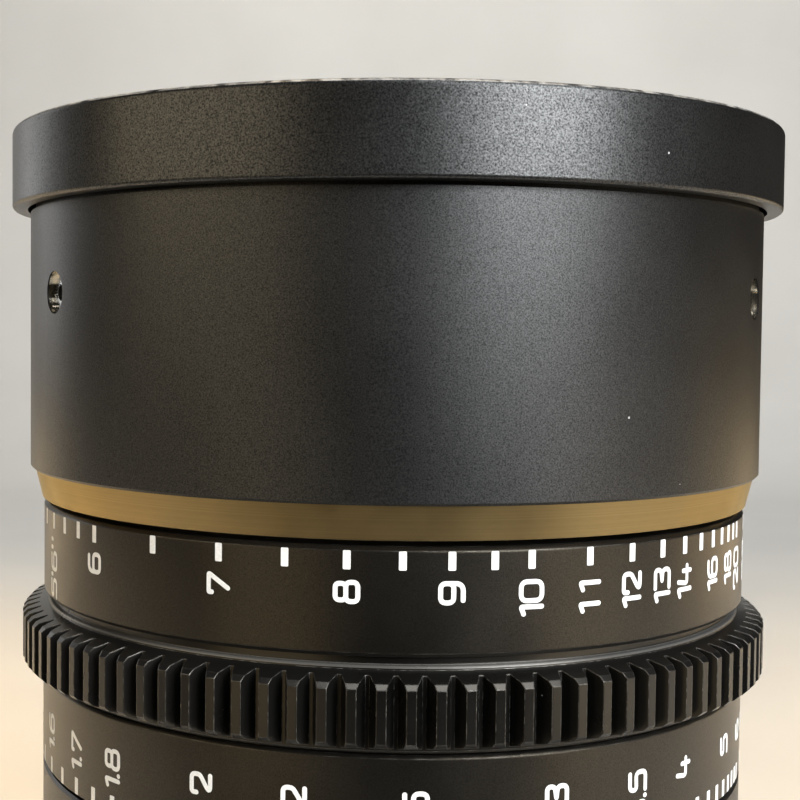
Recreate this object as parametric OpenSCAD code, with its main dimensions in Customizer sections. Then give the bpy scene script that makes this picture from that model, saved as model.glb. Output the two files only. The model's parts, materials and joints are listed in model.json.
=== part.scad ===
// Cinema prime lens with a geared focus ring, a geared iris ring and a push-on front cap.
// The origin is the centre of the mount's seat face. +Z runs forward along the optical axis.

/* [Front barrel] */
// Outside diameter of the front barrel
barrel_d = 80; // [78.5:0.5:86]
// Length of the front barrel
barrel_len = 33.5; // [32:0.5:40]
// Wall of the front barrel
barrel_wall = 2; // [1.6:0.1:2.4]
// Chamfer of the front barrel's lower edge
barrel_edge = 0.25; // [0.1:0.05:0.6]
// Step on the radius in to the land that the cap slides on
cap_land_step = 0.55; // [0.45:0.05:0.7]
// Minor diameter of the filter thread
filter_d = 76.2; // [75.5:0.1:76.8]
// Depth of the recess with the filter thread
filter_depth = 6; // [5.5:0.25:6.25]
// Width of the lip behind the filter recess
recess_lip = 2.5; // [2:0.1:3]
// Thickness of that lip
recess_lip_t = 2; // [1.5:0.1:2.4]
// Length of the bronze ring
accent_len = 3.1; // [2:0.1:5]
// Step from the front barrel in to the top of the bronze ring
accent_step = 0.5; // [0.3:0.1:1]
// Taper of the bronze ring, on the radius
accent_taper = 0.76; // [0.3:0.02:1.2]
// Open groove between the bronze ring and the focus ring
accent_gap = 0.57; // [0.4:0.01:1]

/* [Grub screws] */
// Number of grub screws round the front barrel
grub_count = 3; // [2:1:6]
// Angle of the first grub screw, from +X
grub_angle = -145.7; // [-180:0.1:180]
// Distance of the grub screws behind the front edge
grub_setback = 15.2; // [13:0.1:17]
// Diameter of a grub screw
grub_d = 3; // [2:0.1:4]
// Diameter of the sunk mouth over a grub screw
grub_mouth_d = 4.2; // [3.4:0.1:4.6]
// Depth of that mouth
grub_mouth = 0.7; // [0.4:0.1:1]
// Width of the hexagon socket in a grub screw
grub_socket = 1.5; // [0.9:0.1:1.8]

/* [Front cap] */
// Height of the cap
cap_h = 8.3; // [6.5:0.1:12]
// Thickness of the cap's skirt
cap_wall = 1.6; // [1.2:0.1:2]
// Thickness of the cap's top
cap_top = 1.9; // [1.4:0.1:3]
// Gap between the skirt and the barrel
cap_gap = 0.3; // [0.25:0.05:0.6]
// Rounding of the cap's upper edge
cap_edge = 0.55; // [0.3:0.05:0.9]
// Rounding of the cap's lower edge
cap_lip = 0.4; // [0.2:0.05:0.6]
// Rim round the shallow dish in the cap's top
cap_rim = 3.5; // [2:0.5:8]
// Depth of that dish
cap_dish = 0.35; // [0.2:0.05:0.6]
// Height of the felt grip ring
liner_h = 3.6; // [2:0.1:4.5]

/* [Focus ring] */
// Outside diameter of the scale band in feet
feet_d = 77.06; // [76.2:0.02:77.6]
// Outside diameter of the scale band in metres
metre_d = 77.28; // [76.2:0.02:77.6]
// Length of the scale band in feet
feet_len = 9.63; // [8.5:0.01:12]
// Length of the scale band in metres
metre_len = 9.5; // [8.5:0.1:12]
// Chamfer on the edges of the scale band in feet
feet_edge = 0.38; // [0.2:0.02:0.45]
// Chamfer on the edges of the rings
ring_edge = 0.25; // [0.1:0.05:0.35]
// Wall of the cam sleeve
sleeve_wall = 2.2; // [1.8:0.1:2.4]
// Turn of the focus ring to infinity
focus_low = -200.7; // [-205:0.1:-195]
// Turn of the focus ring to close focus
focus_high = 99.3; // [95:0.1:105]
// Travel of the focus carriage for one full turn of the ring
cam_lead = 14.4; // [13:0.1:15]
// Height of the stop tab on the cam sleeve
stop_h = 2.1; // [1.8:0.1:2.5]
// Diameter of the stop pin
stop_pin_d = 1.6; // [1.2:0.1:1.7]
// Angle of the stop pin, from +X
stop_angle = 90; // [0:5:360]
// Thickness of the glide rings
glide_t = 0.4; // [0.3:0.05:0.5]

/* [Gears] */
// Module of the gear teeth
gear_module = 0.8; // [0.8:0.01:0.82]
// Teeth on the focus gear
focus_teeth = 100; // [99:1:104]
// Teeth on the iris gear
iris_teeth = 96; // [95:1:102]
// Angle of the focus gear's first tooth, from +X
focus_phase = -87.1; // [-90:0.1:90]
// Length of the neck under the focus gear's rim
gear_neck = 0.3; // [0.2:0.05:0.6]
// Length of the plain rim under the teeth
gear_rim = 0.46; // [0.4:0.02:2]
// Length of the slope at the lower ends of the teeth
gear_low_slope = 0.4; // [0.3:0.1:1.2]
// Length of a tooth's full-height land
gear_land = 4.64; // [3.5:0.02:7]
// Length of the slope at the upper ends of the teeth
gear_top_slope = 0.66; // [0.3:0.01:1.2]
// Chamfer at both ends of a tooth's land
gear_tip_edge = 0.44; // [0.2:0.02:0.6]
// Height of the bead above the teeth
gear_bead = 0.35; // [0.25:0.05:0.6]
// Diameter of the bead
gear_bead_d = 76.2; // [75.4:0.1:77]
// Length of the groove above the bead
gear_groove = 0.8; // [0.5:0.1:1.5]
// Depth of the groove behind the bead
gear_groove_in = 0.6; // [0.4:0.1:0.8]

/* [Inner barrel] */
// Bore of the inner barrel
main_bore = 60; // [59.6:0.1:60.2]
// Wall of the inner barrel
main_wall = 3; // [2.6:0.1:3.1]
// Length of the front cup from the front barrel's lower edge to its floor
cup_setback = 12.2; // [11.5:0.1:12.5]
// Depth of the cup that holds the front cell
cup_depth = 11; // [10:0.1:11.5]
// Thickness of the web behind the cup
cup_web = 6; // [4:0.5:7]
// Wall between the cell and the front barrel
cup_wall = 3.5; // [3.2:0.1:3.8]

/* [Front group] */
// Diameter of the front element
front_glass_d = 62; // [60:0.5:62.6]
// Front radius of the front element
front_glass_r = 70; // [66:1:90]
// Rear radius of the front element
front_glass_back = 110; // [100:5:200]
// Edge thickness of the front element
front_glass_edge = 6; // [5:0.1:6.2]
// Wall of the front retainer at its top
front_retainer_top = 0.8; // [0.5:0.1:1]
// Steps in the front retainer's light trap
trap_steps = 5; // [3:1:7]
// Diameter of the second element
second_glass_d = 52; // [50:0.5:54]
// Front radius of the second element
second_glass_r = 60; // [58:1:90]
// Rear radius of the second element
second_glass_back = 300; // [200:10:500]
// Edge thickness of the second element
second_glass_edge = 4; // [3:0.1:4.2]
// Length of the front cell behind the cup's floor
cell_tail = 12; // [11.5:0.1:12.4]
// Thickness of the seat under a glass element in the front cell
cell_seat = 1.6; // [1.4:0.1:1.8]
// Width of the lip that a glass element sits on
glass_lip = 1.2; // [0.8:0.1:1.4]
// Length of a retaining ring
retainer_len = 1.7; // [1.4:0.1:2]

/* [Focus carriage] */
// Length of the carriage in front of the followers
carriage_ahead = 7; // [6:0.1:7.5]
// Length of the carriage behind the followers
carriage_behind = 13; // [12:0.1:13.5]
// Diameter of the carriage's front element
carriage_glass_d = 48; // [46:0.5:50]
// Front radius of the carriage's front element
carriage_glass_r = 55; // [52:1:90]
// Diameter of the carriage's rear element
carriage_rear_d = 42; // [40:0.5:44]
// Rear radius of the carriage's rear element
carriage_rear_r = 60; // [56:1:90]
// Edge thickness of the carriage's elements
carriage_glass_edge = 3.5; // [3:0.1:4]
// Inner radius of curvature shared by the carriage's elements
carriage_inner_r = 200; // [150:10:400]
// Diameter of a follower pin
follower_d = 2.4; // [2:0.1:2.6]
// Depth of a follower pin in the carriage
follower_depth = 3.4; // [3:0.1:3.6]
// Diameter of the rollers on a follower pin
roller_d = 3.8; // [3.4:0.1:4]
// Setback of the followers behind the upper scale band
follower_setback = 1.5; // [1.2:0.1:2]

/* [Iris] */
// Outside diameter of the iris ring
iris_d = 74.4; // [73.6:0.1:74.6]
// Length of the iris ring
iris_len = 16.2; // [15.8:0.1:18]
// Length of the iris gear
iris_gear_len = 7; // [6:0.1:7.4]
// Wall of the iris gear under its teeth
iris_gear_wall = 2.1; // [1.8:0.1:2.4]
// Turn of the iris ring from open to closed
iris_travel = 60; // [58:0.5:62]
// Swing of each blade from open to closed
blade_swing = 26.7; // [25:0.1:27]
// Number of blades
blade_count = 9; // [9:1:9]
// Diameter of the circle of the blades' pivots
pivot_circle_d = 52; // [51.8:0.1:52.2]
// Lever from a blade's pivot to its drive pin
blade_lever = 6.5; // [6.3:0.1:6.6]
// Radius of the open iris
iris_open_r = 13.5; // [13:0.1:14]
// Outer radius of a blade's band
blade_out_r = 24; // [23.8:0.1:24.2]
// Angle that a blade's band spans
blade_span = 120; // [110:1:125]
// Thickness of a blade
blade_t = 0.2; // [0.15:0.01:0.22]
// Spacing of the blades' layers
blade_pitch = 0.35; // [0.32:0.01:0.36]
// Diameter of a blade's pivot pin
pivot_pin_d = 1; // [0.8:0.05:1.1]
// Diameter of a blade's drive pin
blade_pin_d = 0.9; // [0.7:0.05:1]
// Thickness of the iris housing's floor
iris_floor = 2; // [1.6:0.1:2.2]
// Step from the blades' inner edge out to the floor's
iris_floor_step = 0.7; // [0.4:0.1:1.2]
// Distance of that floor above the iris ring's rear edge
iris_floor_z = 4; // [3.8:0.1:4.4]
// Thickness of the actuator ring's plate
actuator_t = 1.5; // [1.2:0.1:1.6]
// Lap of the actuator ring over the blades
actuator_lap = 1.5; // [1:0.1:2]
// Height of the actuator ring's rim
actuator_rim_h = 4.4; // [4.2:0.1:4.6]
// Wall of that rim
actuator_rim = 0.9; // [0.8:0.05:1]
// Diameter of the pin that joins the iris ring to the actuator ring
iris_pin_d = 2.4; // [2:0.1:2.6]
// Angle of that pin with the iris open, from +X
iris_pin_angle = 60; // [0:5:180]
// Thickness of the ring that keeps the actuator in
iris_retainer_t = 1; // [0.8:0.1:1.2]

/* [Rear] */
// Outside diameter of the index barrel
index_d = 77.28; // [76:0.02:77.8]
// Length of the index barrel
index_len = 11.7; // [10:0.1:16]
// Largest diameter of the rear barrel
rear_d = 72.8; // [71:0.1:74]
// Diameter of the rear barrel at the mount
rear_neck_d = 67.3; // [67:0.1:69]
// Length of the rear barrel
rear_len = 16.5; // [15.5:0.1:20]
// Length of the rear barrel's straight neck
rear_neck = 1.8; // [1:0.1:3]
// Length of the rear barrel's taper
rear_taper = 7; // [5:0.1:9]
// Outside diameter of the mount's register tube
register_d = 54; // [53.6:0.1:54.2]
// Length of the register tube
register_len = 12; // [10:0.5:14]
// Wall of the register tube
register_wall = 1.8; // [1.5:0.1:1.9]
// Thickness of the mount's flange
flange_t = 3; // [2.6:0.1:3.5]
// Diameter of the flange between its lugs
flange_d = 62; // [61.6:0.2:64]
// Diameter across the flange's lugs
lug_d = 68; // [66:0.5:70]
// Angle that each lug spans
lug_span = 50; // [40:1:56]
// Number of lugs
lug_count = 4; // [4:1:4]
// Width of the index notch in one lug
notch_w = 4; // [3:0.1:5]
// Depth of the index notch
notch_depth = 2.4; // [1.8:0.1:2.8]
// Thickness of the mount's shim
shim_t = 0.2; // [0.1:0.05:0.5]
// Diameter of the circle of mount screws
mount_circle_d = 58; // [57.8:0.1:58.4]
// Diameter of a mount screw
mount_screw_d = 2; // [1.8:0.1:2.2]
// Diameter of a mount screw's head
mount_head_d = 3.4; // [3:0.1:3.6]
// Length of a mount screw
mount_screw_len = 7.5; // [6:0.1:8]
// Bore at the rear of the inner barrel
rear_bore = 52.4; // [52.2:0.1:52.8]
// Depth of that bore
rear_bore_len = 6; // [5.6:0.1:7]
// Diameter of the rear cell's tail
tail_d = 49; // [48:0.1:49.6]
// Length of the tail behind the flange
tail_len = 19; // [17:0.5:22]
// Length of the rear cell ahead of its seat
rear_cell_ahead = 17; // [16:0.1:17.5]
// Diameter of the rear doublet
doublet_d = 40; // [38:0.5:41]
// Cemented radius of the rear doublet
doublet_inner_r = 45; // [42:1:70]
// Front radius of the rear doublet
doublet_front_r = 50; // [46:1:80]
// Edge thickness of each half of the rear doublet
doublet_edge = 6.5; // [6:0.1:6.8]
// Diameter of the rear element
rear_glass_d = 40; // [38:0.5:41]
// Rear radius of the rear element
rear_glass_r = 90; // [80:1:120]
// Edge thickness of the rear element
rear_glass_edge = 3; // [2.5:0.1:4]
// Setback of the rear element inside the tail
rear_glass_setback = 3; // [2.6:0.1:4]

/* [Fits] */
// Clearance on the radius between pieces that are screwed or glued together
seat_fit = 0.05; // [0.03:0.01:0.08]
// Clearance on the radius between pieces that turn or slide
run_gap = 0.1; // [0.08:0.01:0.12]
// Gap between the ends of fixed and turning rings
end_gap = 0.3; // [0.25:0.05:0.5]
// Clearance round small pins in their holes
pin_fit = 0.03; // [0.02:0.01:0.04]
// Clearance round rollers in their slots
roller_fit = 0.06; // [0.04:0.01:0.08]

/* [Hidden] */
$fn = 96;
// Extra length of a cutting tool past the faces that it cuts
cut = 1;
// Sides of a glass surface's circle for each millimetre of its radius
glass_fn = 8;
// Pressure angle of the gear teeth, their profile shift in modules, and their depth below the pitch circle
pressure = 20;
profile_shift = 0.38;
dedendum = 1.25;

// Levels along the axis, from the mount's seat forward
z_shim = flange_t;
z_rear0 = z_shim + shim_t;
z_rear1 = z_rear0 + rear_len;
z_iris0 = z_rear1 + end_gap;
z_iris1 = z_iris0 + iris_len;
z_index0 = z_iris1 + end_gap;
z_index1 = z_index0 + index_len;
z_metre0 = z_index1 + end_gap;
z_metre1 = z_metre0 + metre_len;
z_gear_rim = z_metre1 + gear_neck;
z_teeth0 = z_gear_rim + gear_rim;
z_land0 = z_teeth0 + gear_low_slope + gear_tip_edge;
z_land1 = z_land0 + gear_land;
z_teeth1 = z_land1 + gear_tip_edge + gear_top_slope;
z_bead1 = z_teeth1 + gear_bead;
z_feet0 = z_bead1 + gear_groove;
z_feet1 = z_feet0 + feet_len;
z_accent0 = z_feet1 + accent_gap;
z_barrel0 = z_accent0 + accent_len;
z_front = z_barrel0 + barrel_len;
z_cap1 = z_front + end_gap + cap_top;
z_cap0 = z_cap1 - cap_h;
z_cap_land = z_cap0 - end_gap;

// Radii of the turned pieces, from the axis outward
main_in = main_bore / 2;
main_r = main_in + main_wall;
rear_neck_r = rear_neck_d / 2;
sleeve_in = main_r + run_gap;
sleeve_r = sleeve_in + sleeve_wall;
ring_in = sleeve_r + seat_fit;
shoulder_r = sleeve_r + 2 * end_gap;
barrel_r = barrel_d / 2;
barrel_in = barrel_r - barrel_wall;
cap_land_r = barrel_r - cap_land_step;
cup_r = barrel_in - seat_fit;
cup_in = cup_r - cup_wall;
cell_r = cup_in - seat_fit;
cap_in = barrel_r + cap_gap;
cap_r = cap_in + cap_wall;
accent_r = barrel_r - accent_step;
recess_in = filter_d / 2 - recess_lip;

// Gears
focus_pitch_r = focus_teeth * gear_module / 2;
focus_tip_r = focus_pitch_r + gear_module;
focus_root_r = focus_pitch_r - dedendum * gear_module;
iris_pitch_r = iris_teeth * gear_module / 2;
iris_tip_r = iris_pitch_r + gear_module;
iris_root_r = iris_pitch_r - dedendum * gear_module;
gear_neck_r = gear_bead_d / 2 - gear_groove_in;

// Focus drive
z_follower = z_feet0 - follower_setback;
roller_r = roller_d / 2;
travel_low = cam_lead * focus_low / 360;
travel_high = cam_lead * focus_high / 360;
follower_angles = [0, 180];
follower_in = main_in - follower_depth;
slot_end = 0.3;
cam_step = 5;
cam_half = (roller_r + roller_fit) / cos(atan(cam_lead / (2 * PI * sleeve_r)));
cam_over = (roller_r + slot_end) / sleeve_in * 180 / PI;
z_sleeve0 = z_metre0 + stop_h;
z_sleeve1 = z_feet1 - end_gap + roller_fit;
z_shoulder = z_sleeve1 + run_gap + glide_t;
z_stop_pin = z_metre0 + stop_h / 2;
stop_margin = (stop_pin_d / 2 + run_gap) / sleeve_in * 180 / PI;
tab_start = stop_angle + stop_margin - 360 - focus_low;
tab_span = 360 + focus_low - focus_high - 2 * stop_margin;

// Front group
z_cup_floor = z_barrel0 + cup_setback;
z_cup0 = z_cup_floor - cup_web;
z_cup1 = z_cup_floor + cup_depth;
z_grub = z_front - grub_setback;
grub_reach = 1.2;
z_recess = z_front - filter_depth;
z_lip0 = z_recess - recess_lip_t;
z_cell1 = z_lip0 - end_gap;
front_glass = front_glass_d / 2;
z_front_glass = z_cup_floor + cell_seat;
z_front_vertex = z_front_glass + front_glass_edge + sag(front_glass_r, front_glass);
retainer_r = (front_glass + seat_fit + cell_r) / 2;
front_retainer_in = front_glass - glass_lip;
z_front_retainer = z_front_vertex - sag(front_glass_r, front_retainer_in) + run_gap;
second_glass = second_glass_d / 2;
z_cell0 = z_cup_floor - cell_tail;
z_second = z_cell0 + cell_seat;
second_retainer_in = second_glass - glass_lip;
z_second_vertex = z_second + second_glass_edge + sag(second_glass_r, second_glass);
z_second_retainer = z_second_vertex - sag(second_glass_r, second_retainer_in) + run_gap;

// Focus carriage
carriage_r = main_in - run_gap;
z_carriage0 = z_follower - carriage_behind;
z_carriage1 = z_follower + carriage_ahead;
carriage_glass = carriage_glass_d / 2;
carriage_rear = carriage_rear_d / 2;
carriage_lip = 2.5;
z_carriage_glass = z_carriage0 + 2 * carriage_lip + carriage_glass_edge;
z_carriage_rear = z_carriage_glass - carriage_lip;
carriage_retainer_in = carriage_glass - glass_lip;
z_carriage_vertex = z_carriage_glass + carriage_glass_edge + sag(carriage_glass_r, carriage_glass);
z_carriage_retainer = z_carriage_vertex - sag(carriage_glass_r, carriage_retainer_in) + run_gap;
carriage_rear_in = carriage_rear - glass_lip;
z_carriage_back = z_carriage_rear - carriage_glass_edge - sag(carriage_rear_r, carriage_rear);
z_carriage_rear_retainer = z_carriage_back + sag(carriage_rear_r, carriage_rear_in) - run_gap;

// Iris
iris_r = iris_d / 2;
iris_in = main_r + run_gap;
iris_hub_r = iris_root_r - iris_gear_wall;
z_iris_gear1 = z_iris0 + iris_gear_len;
z_floor0 = z_iris0 + iris_floor_z;
z_floor1 = z_floor0 + iris_floor;
blade_gap = blade_pitch - blade_t;
z_blades = z_floor1 + blade_gap;
z_actuator0 = z_blades + blade_count * blade_pitch;
z_actuator1 = z_actuator0 + actuator_t;
z_actuator_rim = z_actuator0 + actuator_rim_h;
z_iris_pin = (z_actuator1 + z_actuator_rim) / 2;
actuator_r = main_in - 2 * run_gap;
actuator_in = blade_out_r - actuator_lap;
housing_r = main_in - seat_fit;
iris_stop_in = iris_open_r + iris_floor_step;
retainer_groove = 0.8;
z_iris_retainer = z_actuator_rim + end_gap / 2;
blade_boss = 2.2;
lever_boss = 1.2;
lever_half = 0.9;
blade_steps = 40;
blade_tip_steps = 12;
iris_slot_half = iris_pin_d / 2 + run_gap;
pin_margin = (iris_pin_d / 2 + end_gap) / main_in * 180 / PI;
scroll_steps = 20;
scroll_probe = 0.01;
pivot_r = pivot_circle_d / 2;
scroll_over = (blade_pin_d / 2 + run_gap) / (pivot_r * iris_travel * PI / 180);

// Rear
register_r = register_d / 2;
register_in = register_r - register_wall;
tail_r = tail_d / 2;
rear_cell_r = rear_bore / 2 - seat_fit;
z_tail = -tail_len;
doublet = doublet_d / 2;
z_doublet = z_rear0 + 2 * end_gap;
z_cement = z_doublet + doublet_edge - sag(doublet_inner_r, doublet);
doublet_retainer_in = doublet - glass_lip;
z_doublet_vertex = z_doublet + 2 * doublet_edge + sag(doublet_front_r, doublet);
z_doublet_retainer = z_doublet_vertex - sag(doublet_front_r, doublet_retainer_in) + run_gap;
rear_glass = rear_glass_d / 2;
z_rear_glass = z_tail + rear_glass_setback;
tail_edge = 0.8;
rear_retainer_in = rear_glass - glass_lip;
z_rear_vertex = z_rear_glass - sag(rear_glass_r, rear_glass);
z_rear_retainer = z_rear_vertex + sag(rear_glass_r, rear_retainer_in) - run_gap;
mount_screw_angles = [45, 135, 225, 315];
countersink = (mount_head_d - mount_screw_d) / 2;
head_sink = 0.1;

// Angle of a grub screw, a blade or a lug, counted from its first
function grub_at(i) = grub_angle + i * 360 / grub_count;
function blade_at(i) = i * 360 / blade_count;
function lug_at(i) = i * 360 / lug_count;
// Height of a spherical cap of radius r on a sphere of radius big
function sag(big, r) = big - sqrt(big * big - r * r);
function polar(r, a) = [r * cos(a), r * sin(a)];
function turned(p, a) = [p[0] * cos(a) - p[1] * sin(a), p[0] * sin(a) + p[1] * cos(a)];

// Involute gear outline, with three points on each flank
function involute(r, base) = let (a = acos(base / r)) tan(a) * 180 / PI - a;
function half_tooth(r, pitch, teeth) =
    let (base = pitch * cos(pressure), gain = profile_shift * gear_module * tan(pressure) / pitch * 180 / PI)
    90 / teeth + gain + involute(pitch, base) - involute(r, base);
function flank_radii(pitch) =
    let (root = pitch - dedendum * gear_module, tip = pitch + gear_module) [root, (root + tip) / 2, tip];
function gear_outline(teeth) =
    let (pitch = teeth * gear_module / 2, radii = flank_radii(pitch))
    [for (i = [0 : teeth - 1], side = [-1, 1], k = [0 : 2])
        let (r = radii[side < 0 ? k : 2 - k])
        polar(r, i * 360 / teeth + side * half_tooth(r, pitch, teeth))];

// Outline of the teeth's tips along the axis: a chamfer, the land from z0 to z1 and a chamfer
function tip_profile(tip, z0, z1) = [
    [tip - gear_tip_edge, z0 - gear_tip_edge], [tip + run_gap, z0 + run_gap],
    [tip + run_gap, z1 - run_gap], [tip - gear_tip_edge, z1 + gear_tip_edge]];

// Place of a blade's drive pin at a fraction of its swing, for the blade whose pivot is on +X
function blade_pin(s) =
    let (b = blade_swing * (s - 0.5)) [pivot_r + blade_lever * sin(b), blade_lever * cos(b)];
// Outline of a blade's band, from the pivot round to its rounded tip and back
function blade_band() =
    let (
        half = (blade_out_r - iris_open_r) / 2,
        tip = polar(iris_open_r + half, -blade_span))
    concat(
        [for (k = [0 : blade_steps]) polar(blade_out_r, -blade_span * k / blade_steps)],
        [for (k = [1 : blade_tip_steps - 1]) tip + polar(half, -blade_span - 180 * k / blade_tip_steps)],
        [for (k = [blade_steps : -1 : 0]) polar(iris_open_r, -blade_span * k / blade_steps)]);
// Middle and sides of the actuator's scroll slot for that pin
function scroll_mid(s) = turned(blade_pin(s), -iris_travel * s);
function scroll_side(s, w) =
    let (d = scroll_mid(s + scroll_probe) - scroll_mid(s - scroll_probe))
    scroll_mid(s) + w * [-d[1], d[0]] / norm(d);
function scroll_slot(w) =
    let (
        span = 1 + 2 * scroll_over,
        at = [for (k = [0 : scroll_steps]) k / scroll_steps * span - scroll_over])
    concat([for (k = [0 : scroll_steps]) scroll_side(at[k], w)],
        [for (k = [scroll_steps : -1 : 0]) scroll_side(at[k], -w)]);

// Tube with flat ends
module tube(r_out, r_in, z0, z1) {
    difference() {
        translate([0, 0, z0]) cylinder(h = z1 - z0, r = r_out);
        translate([0, 0, z0 - cut]) cylinder(h = z1 - z0 + 2 * cut, r = r_in);
    }
}

// Tube with its outer edges broken by a chamfer
module band(r_out, r_in, z0, z1, c) {
    rotate_extrude()
        polygon([[r_in, z0], [r_out - c, z0], [r_out, z0 + c], [r_out, z1 - c], [r_out - c, z1], [r_in, z1]]);
}

// Profile of what a rounded outer edge takes off: up is 1 at an upper edge and -1 at a lower one
module edge_round(r, z, f, up) {
    difference() {
        translate([r - f, up > 0 ? z - f : z - cut]) square([f + cut, f + cut]);
        translate([r - f, z - up * f]) circle(f);
    }
}

// Radial cylinder between two radii at an angle and a level
module radial_pin(r0, r1, d, angle, z) {
    rotate([0, 0, angle]) translate([r0, 0, z]) rotate([0, 90, 0]) cylinder(h = r1 - r0, d = d);
}

// Part of a ring between two angles
module arc(r_out, r_in, z0, z1, start, span) {
    rotate([0, 0, start]) rotate_extrude(angle = span)
        translate([r_in, z0]) square([r_out - r_in, z1 - z0]);
}

// Disc of a glass surface's radius in the plane of the axis, with its vertex at z: up is 1 for a centre above
module glass_disc(radius, z, up) {
    translate([0, z + up * radius]) circle(radius, $fn = glass_fn * ceil(radius));
}

// Glass element with its rear rim at z0: its front is convex and its rear is hollow
module element(r, z0, edge, front, back) {
    vertex = z0 + edge + sag(front, r);
    rotate_extrude() difference() {
        intersection() {
            translate([0, z0]) square([r, vertex - z0]);
            glass_disc(front, vertex, -1);
        }
        glass_disc(back, z0 + sag(back, r), -1);
    }
}

// Ring that screws in over a glass element
module retainer(r_out, r_in, z0) {
    tube(r_out, r_in, z0, z0 + retainer_len);
}

module front_cap() {
    color("#1b1b1c") rotate_extrude() difference() {
        translate([0, z_cap0]) square([cap_r, cap_h]);
        translate([-cut, z_cap0 - cut]) square([cap_in + cut, cap_h - cap_top + cut]);
        translate([-cut, z_cap1 - cap_dish]) square([cap_r - cap_rim + cut, cap_dish + cut]);
        edge_round(cap_r, z_cap1, cap_edge, 1);
        edge_round(cap_r, z_cap0, cap_lip, -1);
    }
}

module cap_liner() {
    color("#26262a") tube(cap_in, cap_land_r + run_gap, z_front - liner_h, z_front);
}

module front_barrel() {
    color("#161616") difference() {
        rotate_extrude() polygon([
            [barrel_in, z_barrel0], [barrel_r - barrel_edge, z_barrel0], [barrel_r, z_barrel0 + barrel_edge],
            [barrel_r, z_cap_land], [cap_land_r, z_cap_land], [cap_land_r, z_front],
            [filter_d / 2, z_front], [filter_d / 2, z_recess], [recess_in, z_recess], [recess_in, z_lip0],
            [barrel_in, z_lip0]]);
        for (i = [0 : grub_count - 1]) {
            radial_pin(barrel_in - cut, barrel_r, grub_d + 2 * pin_fit, grub_at(i), z_grub);
            radial_pin(barrel_r - grub_mouth, barrel_r + cut, grub_mouth_d, grub_at(i), z_grub);
        }
    }
}

module barrel_grub_screws() {
    color("#9a9a98") for (i = [0 : grub_count - 1]) difference() {
        radial_pin(cup_r - grub_reach, barrel_r - grub_mouth, grub_d, grub_at(i), z_grub);
        rotate([0, 0, grub_at(i)]) translate([barrel_r - grub_mouth - grub_socket, 0, z_grub])
            rotate([0, 90, 0]) cylinder(h = grub_socket + cut, d = grub_socket / cos(30), $fn = 6);
    }
}

module accent_ring() {
    color("#8a6d45") rotate_extrude() polygon([
        [shoulder_r + seat_fit, z_accent0], [accent_r - accent_taper, z_accent0], [accent_r, z_barrel0],
        [barrel_in - seat_fit, z_barrel0], [barrel_in - seat_fit, z_barrel0 + accent_len],
        [shoulder_r + seat_fit, z_barrel0 + accent_len]]);
}

module feet_scale_ring() {
    color("#171717") band(feet_d / 2, ring_in, z_feet0, z_feet1, feet_edge);
}

module metre_scale_ring() {
    color("#171717") band(metre_d / 2, ring_in, z_metre0, z_metre1, ring_edge);
}

module focus_gear() {
    color("#131313") union() {
        intersection() {
            rotate([0, 0, focus_phase]) translate([0, 0, z_teeth0])
                linear_extrude(z_teeth1 - z_teeth0) polygon(gear_outline(focus_teeth));
            rotate_extrude() polygon(concat(
                [[ring_in, z_teeth0], [focus_root_r, z_teeth0]], tip_profile(focus_tip_r, z_land0, z_land1),
                [[gear_bead_d / 2, z_teeth1], [ring_in, z_teeth1]]));
        }
        rotate_extrude() difference() {
            polygon([
                [ring_in, z_metre1], [gear_neck_r, z_metre1], [gear_neck_r, z_gear_rim],
                [focus_root_r - ring_edge, z_gear_rim], [focus_root_r, z_gear_rim + ring_edge],
                [focus_root_r, z_teeth0], [gear_neck_r, z_land0], [gear_neck_r, z_land1],
                [gear_bead_d / 2, z_teeth1], [gear_bead_d / 2, z_bead1], [gear_neck_r, z_bead1],
                [gear_neck_r, z_feet0], [ring_in, z_feet0]]);
            edge_round(gear_bead_d / 2, z_bead1, gear_bead / 2, 1);
        }
    }
}

// Helical slot tool: the path that a follower takes through the sleeve as the sleeve turns
module cam_tool(angle) {
    low = focus_low - cam_over;
    high = focus_high + cam_over;
    turns = ceil((high - low) / cam_step);
    at = [for (k = [0 : turns]) low + (high - low) * k / turns];
    inner = sleeve_in - cut;
    outer = sleeve_r + cut;
    points = [for (t = at, c = [[inner, -1], [outer, -1], [outer, 1], [inner, 1]])
        concat(polar(c[0], angle - t), z_follower + cam_lead * t / 360 + c[1] * cam_half)];
    sides = [for (k = [0 : turns - 1], j = [0 : 3]) let (n = (j + 1) % 4)
        [4 * k + 4 + j, 4 * k + 4 + n, 4 * k + n, 4 * k + j]];
    split = [for (f = sides, half = [[0, 1, 2], [0, 2, 3]]) [for (c = half) f[c]]];
    polyhedron(points, concat([[2, 3, 0], [1, 2, 0]], split,
        [[4 * turns + 2, 4 * turns + 1, 4 * turns], [4 * turns + 3, 4 * turns + 2, 4 * turns]]));
}

module cam_sleeve() {
    color("#b08a4a") difference() {
        union() {
            tube(sleeve_r, sleeve_in, z_sleeve0, z_sleeve1);
            arc(sleeve_r, sleeve_in, z_metre0 + end_gap, z_sleeve0, tab_start, tab_span);
        }
        for (a = follower_angles) cam_tool(a);
    }
}

module front_glide_ring() {
    color("#d9d6cc") tube(sleeve_r - run_gap, sleeve_in, z_shoulder - glide_t, z_shoulder);
}

module rear_glide_ring() {
    color("#d9d6cc") tube(sleeve_r - run_gap, sleeve_in, z_index1, z_index1 + glide_t);
}

module focus_stop_pin() {
    color("#8f8f8f")
        radial_pin(main_r - main_wall / 2, sleeve_r - run_gap, stop_pin_d, stop_angle, z_stop_pin);
}

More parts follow.
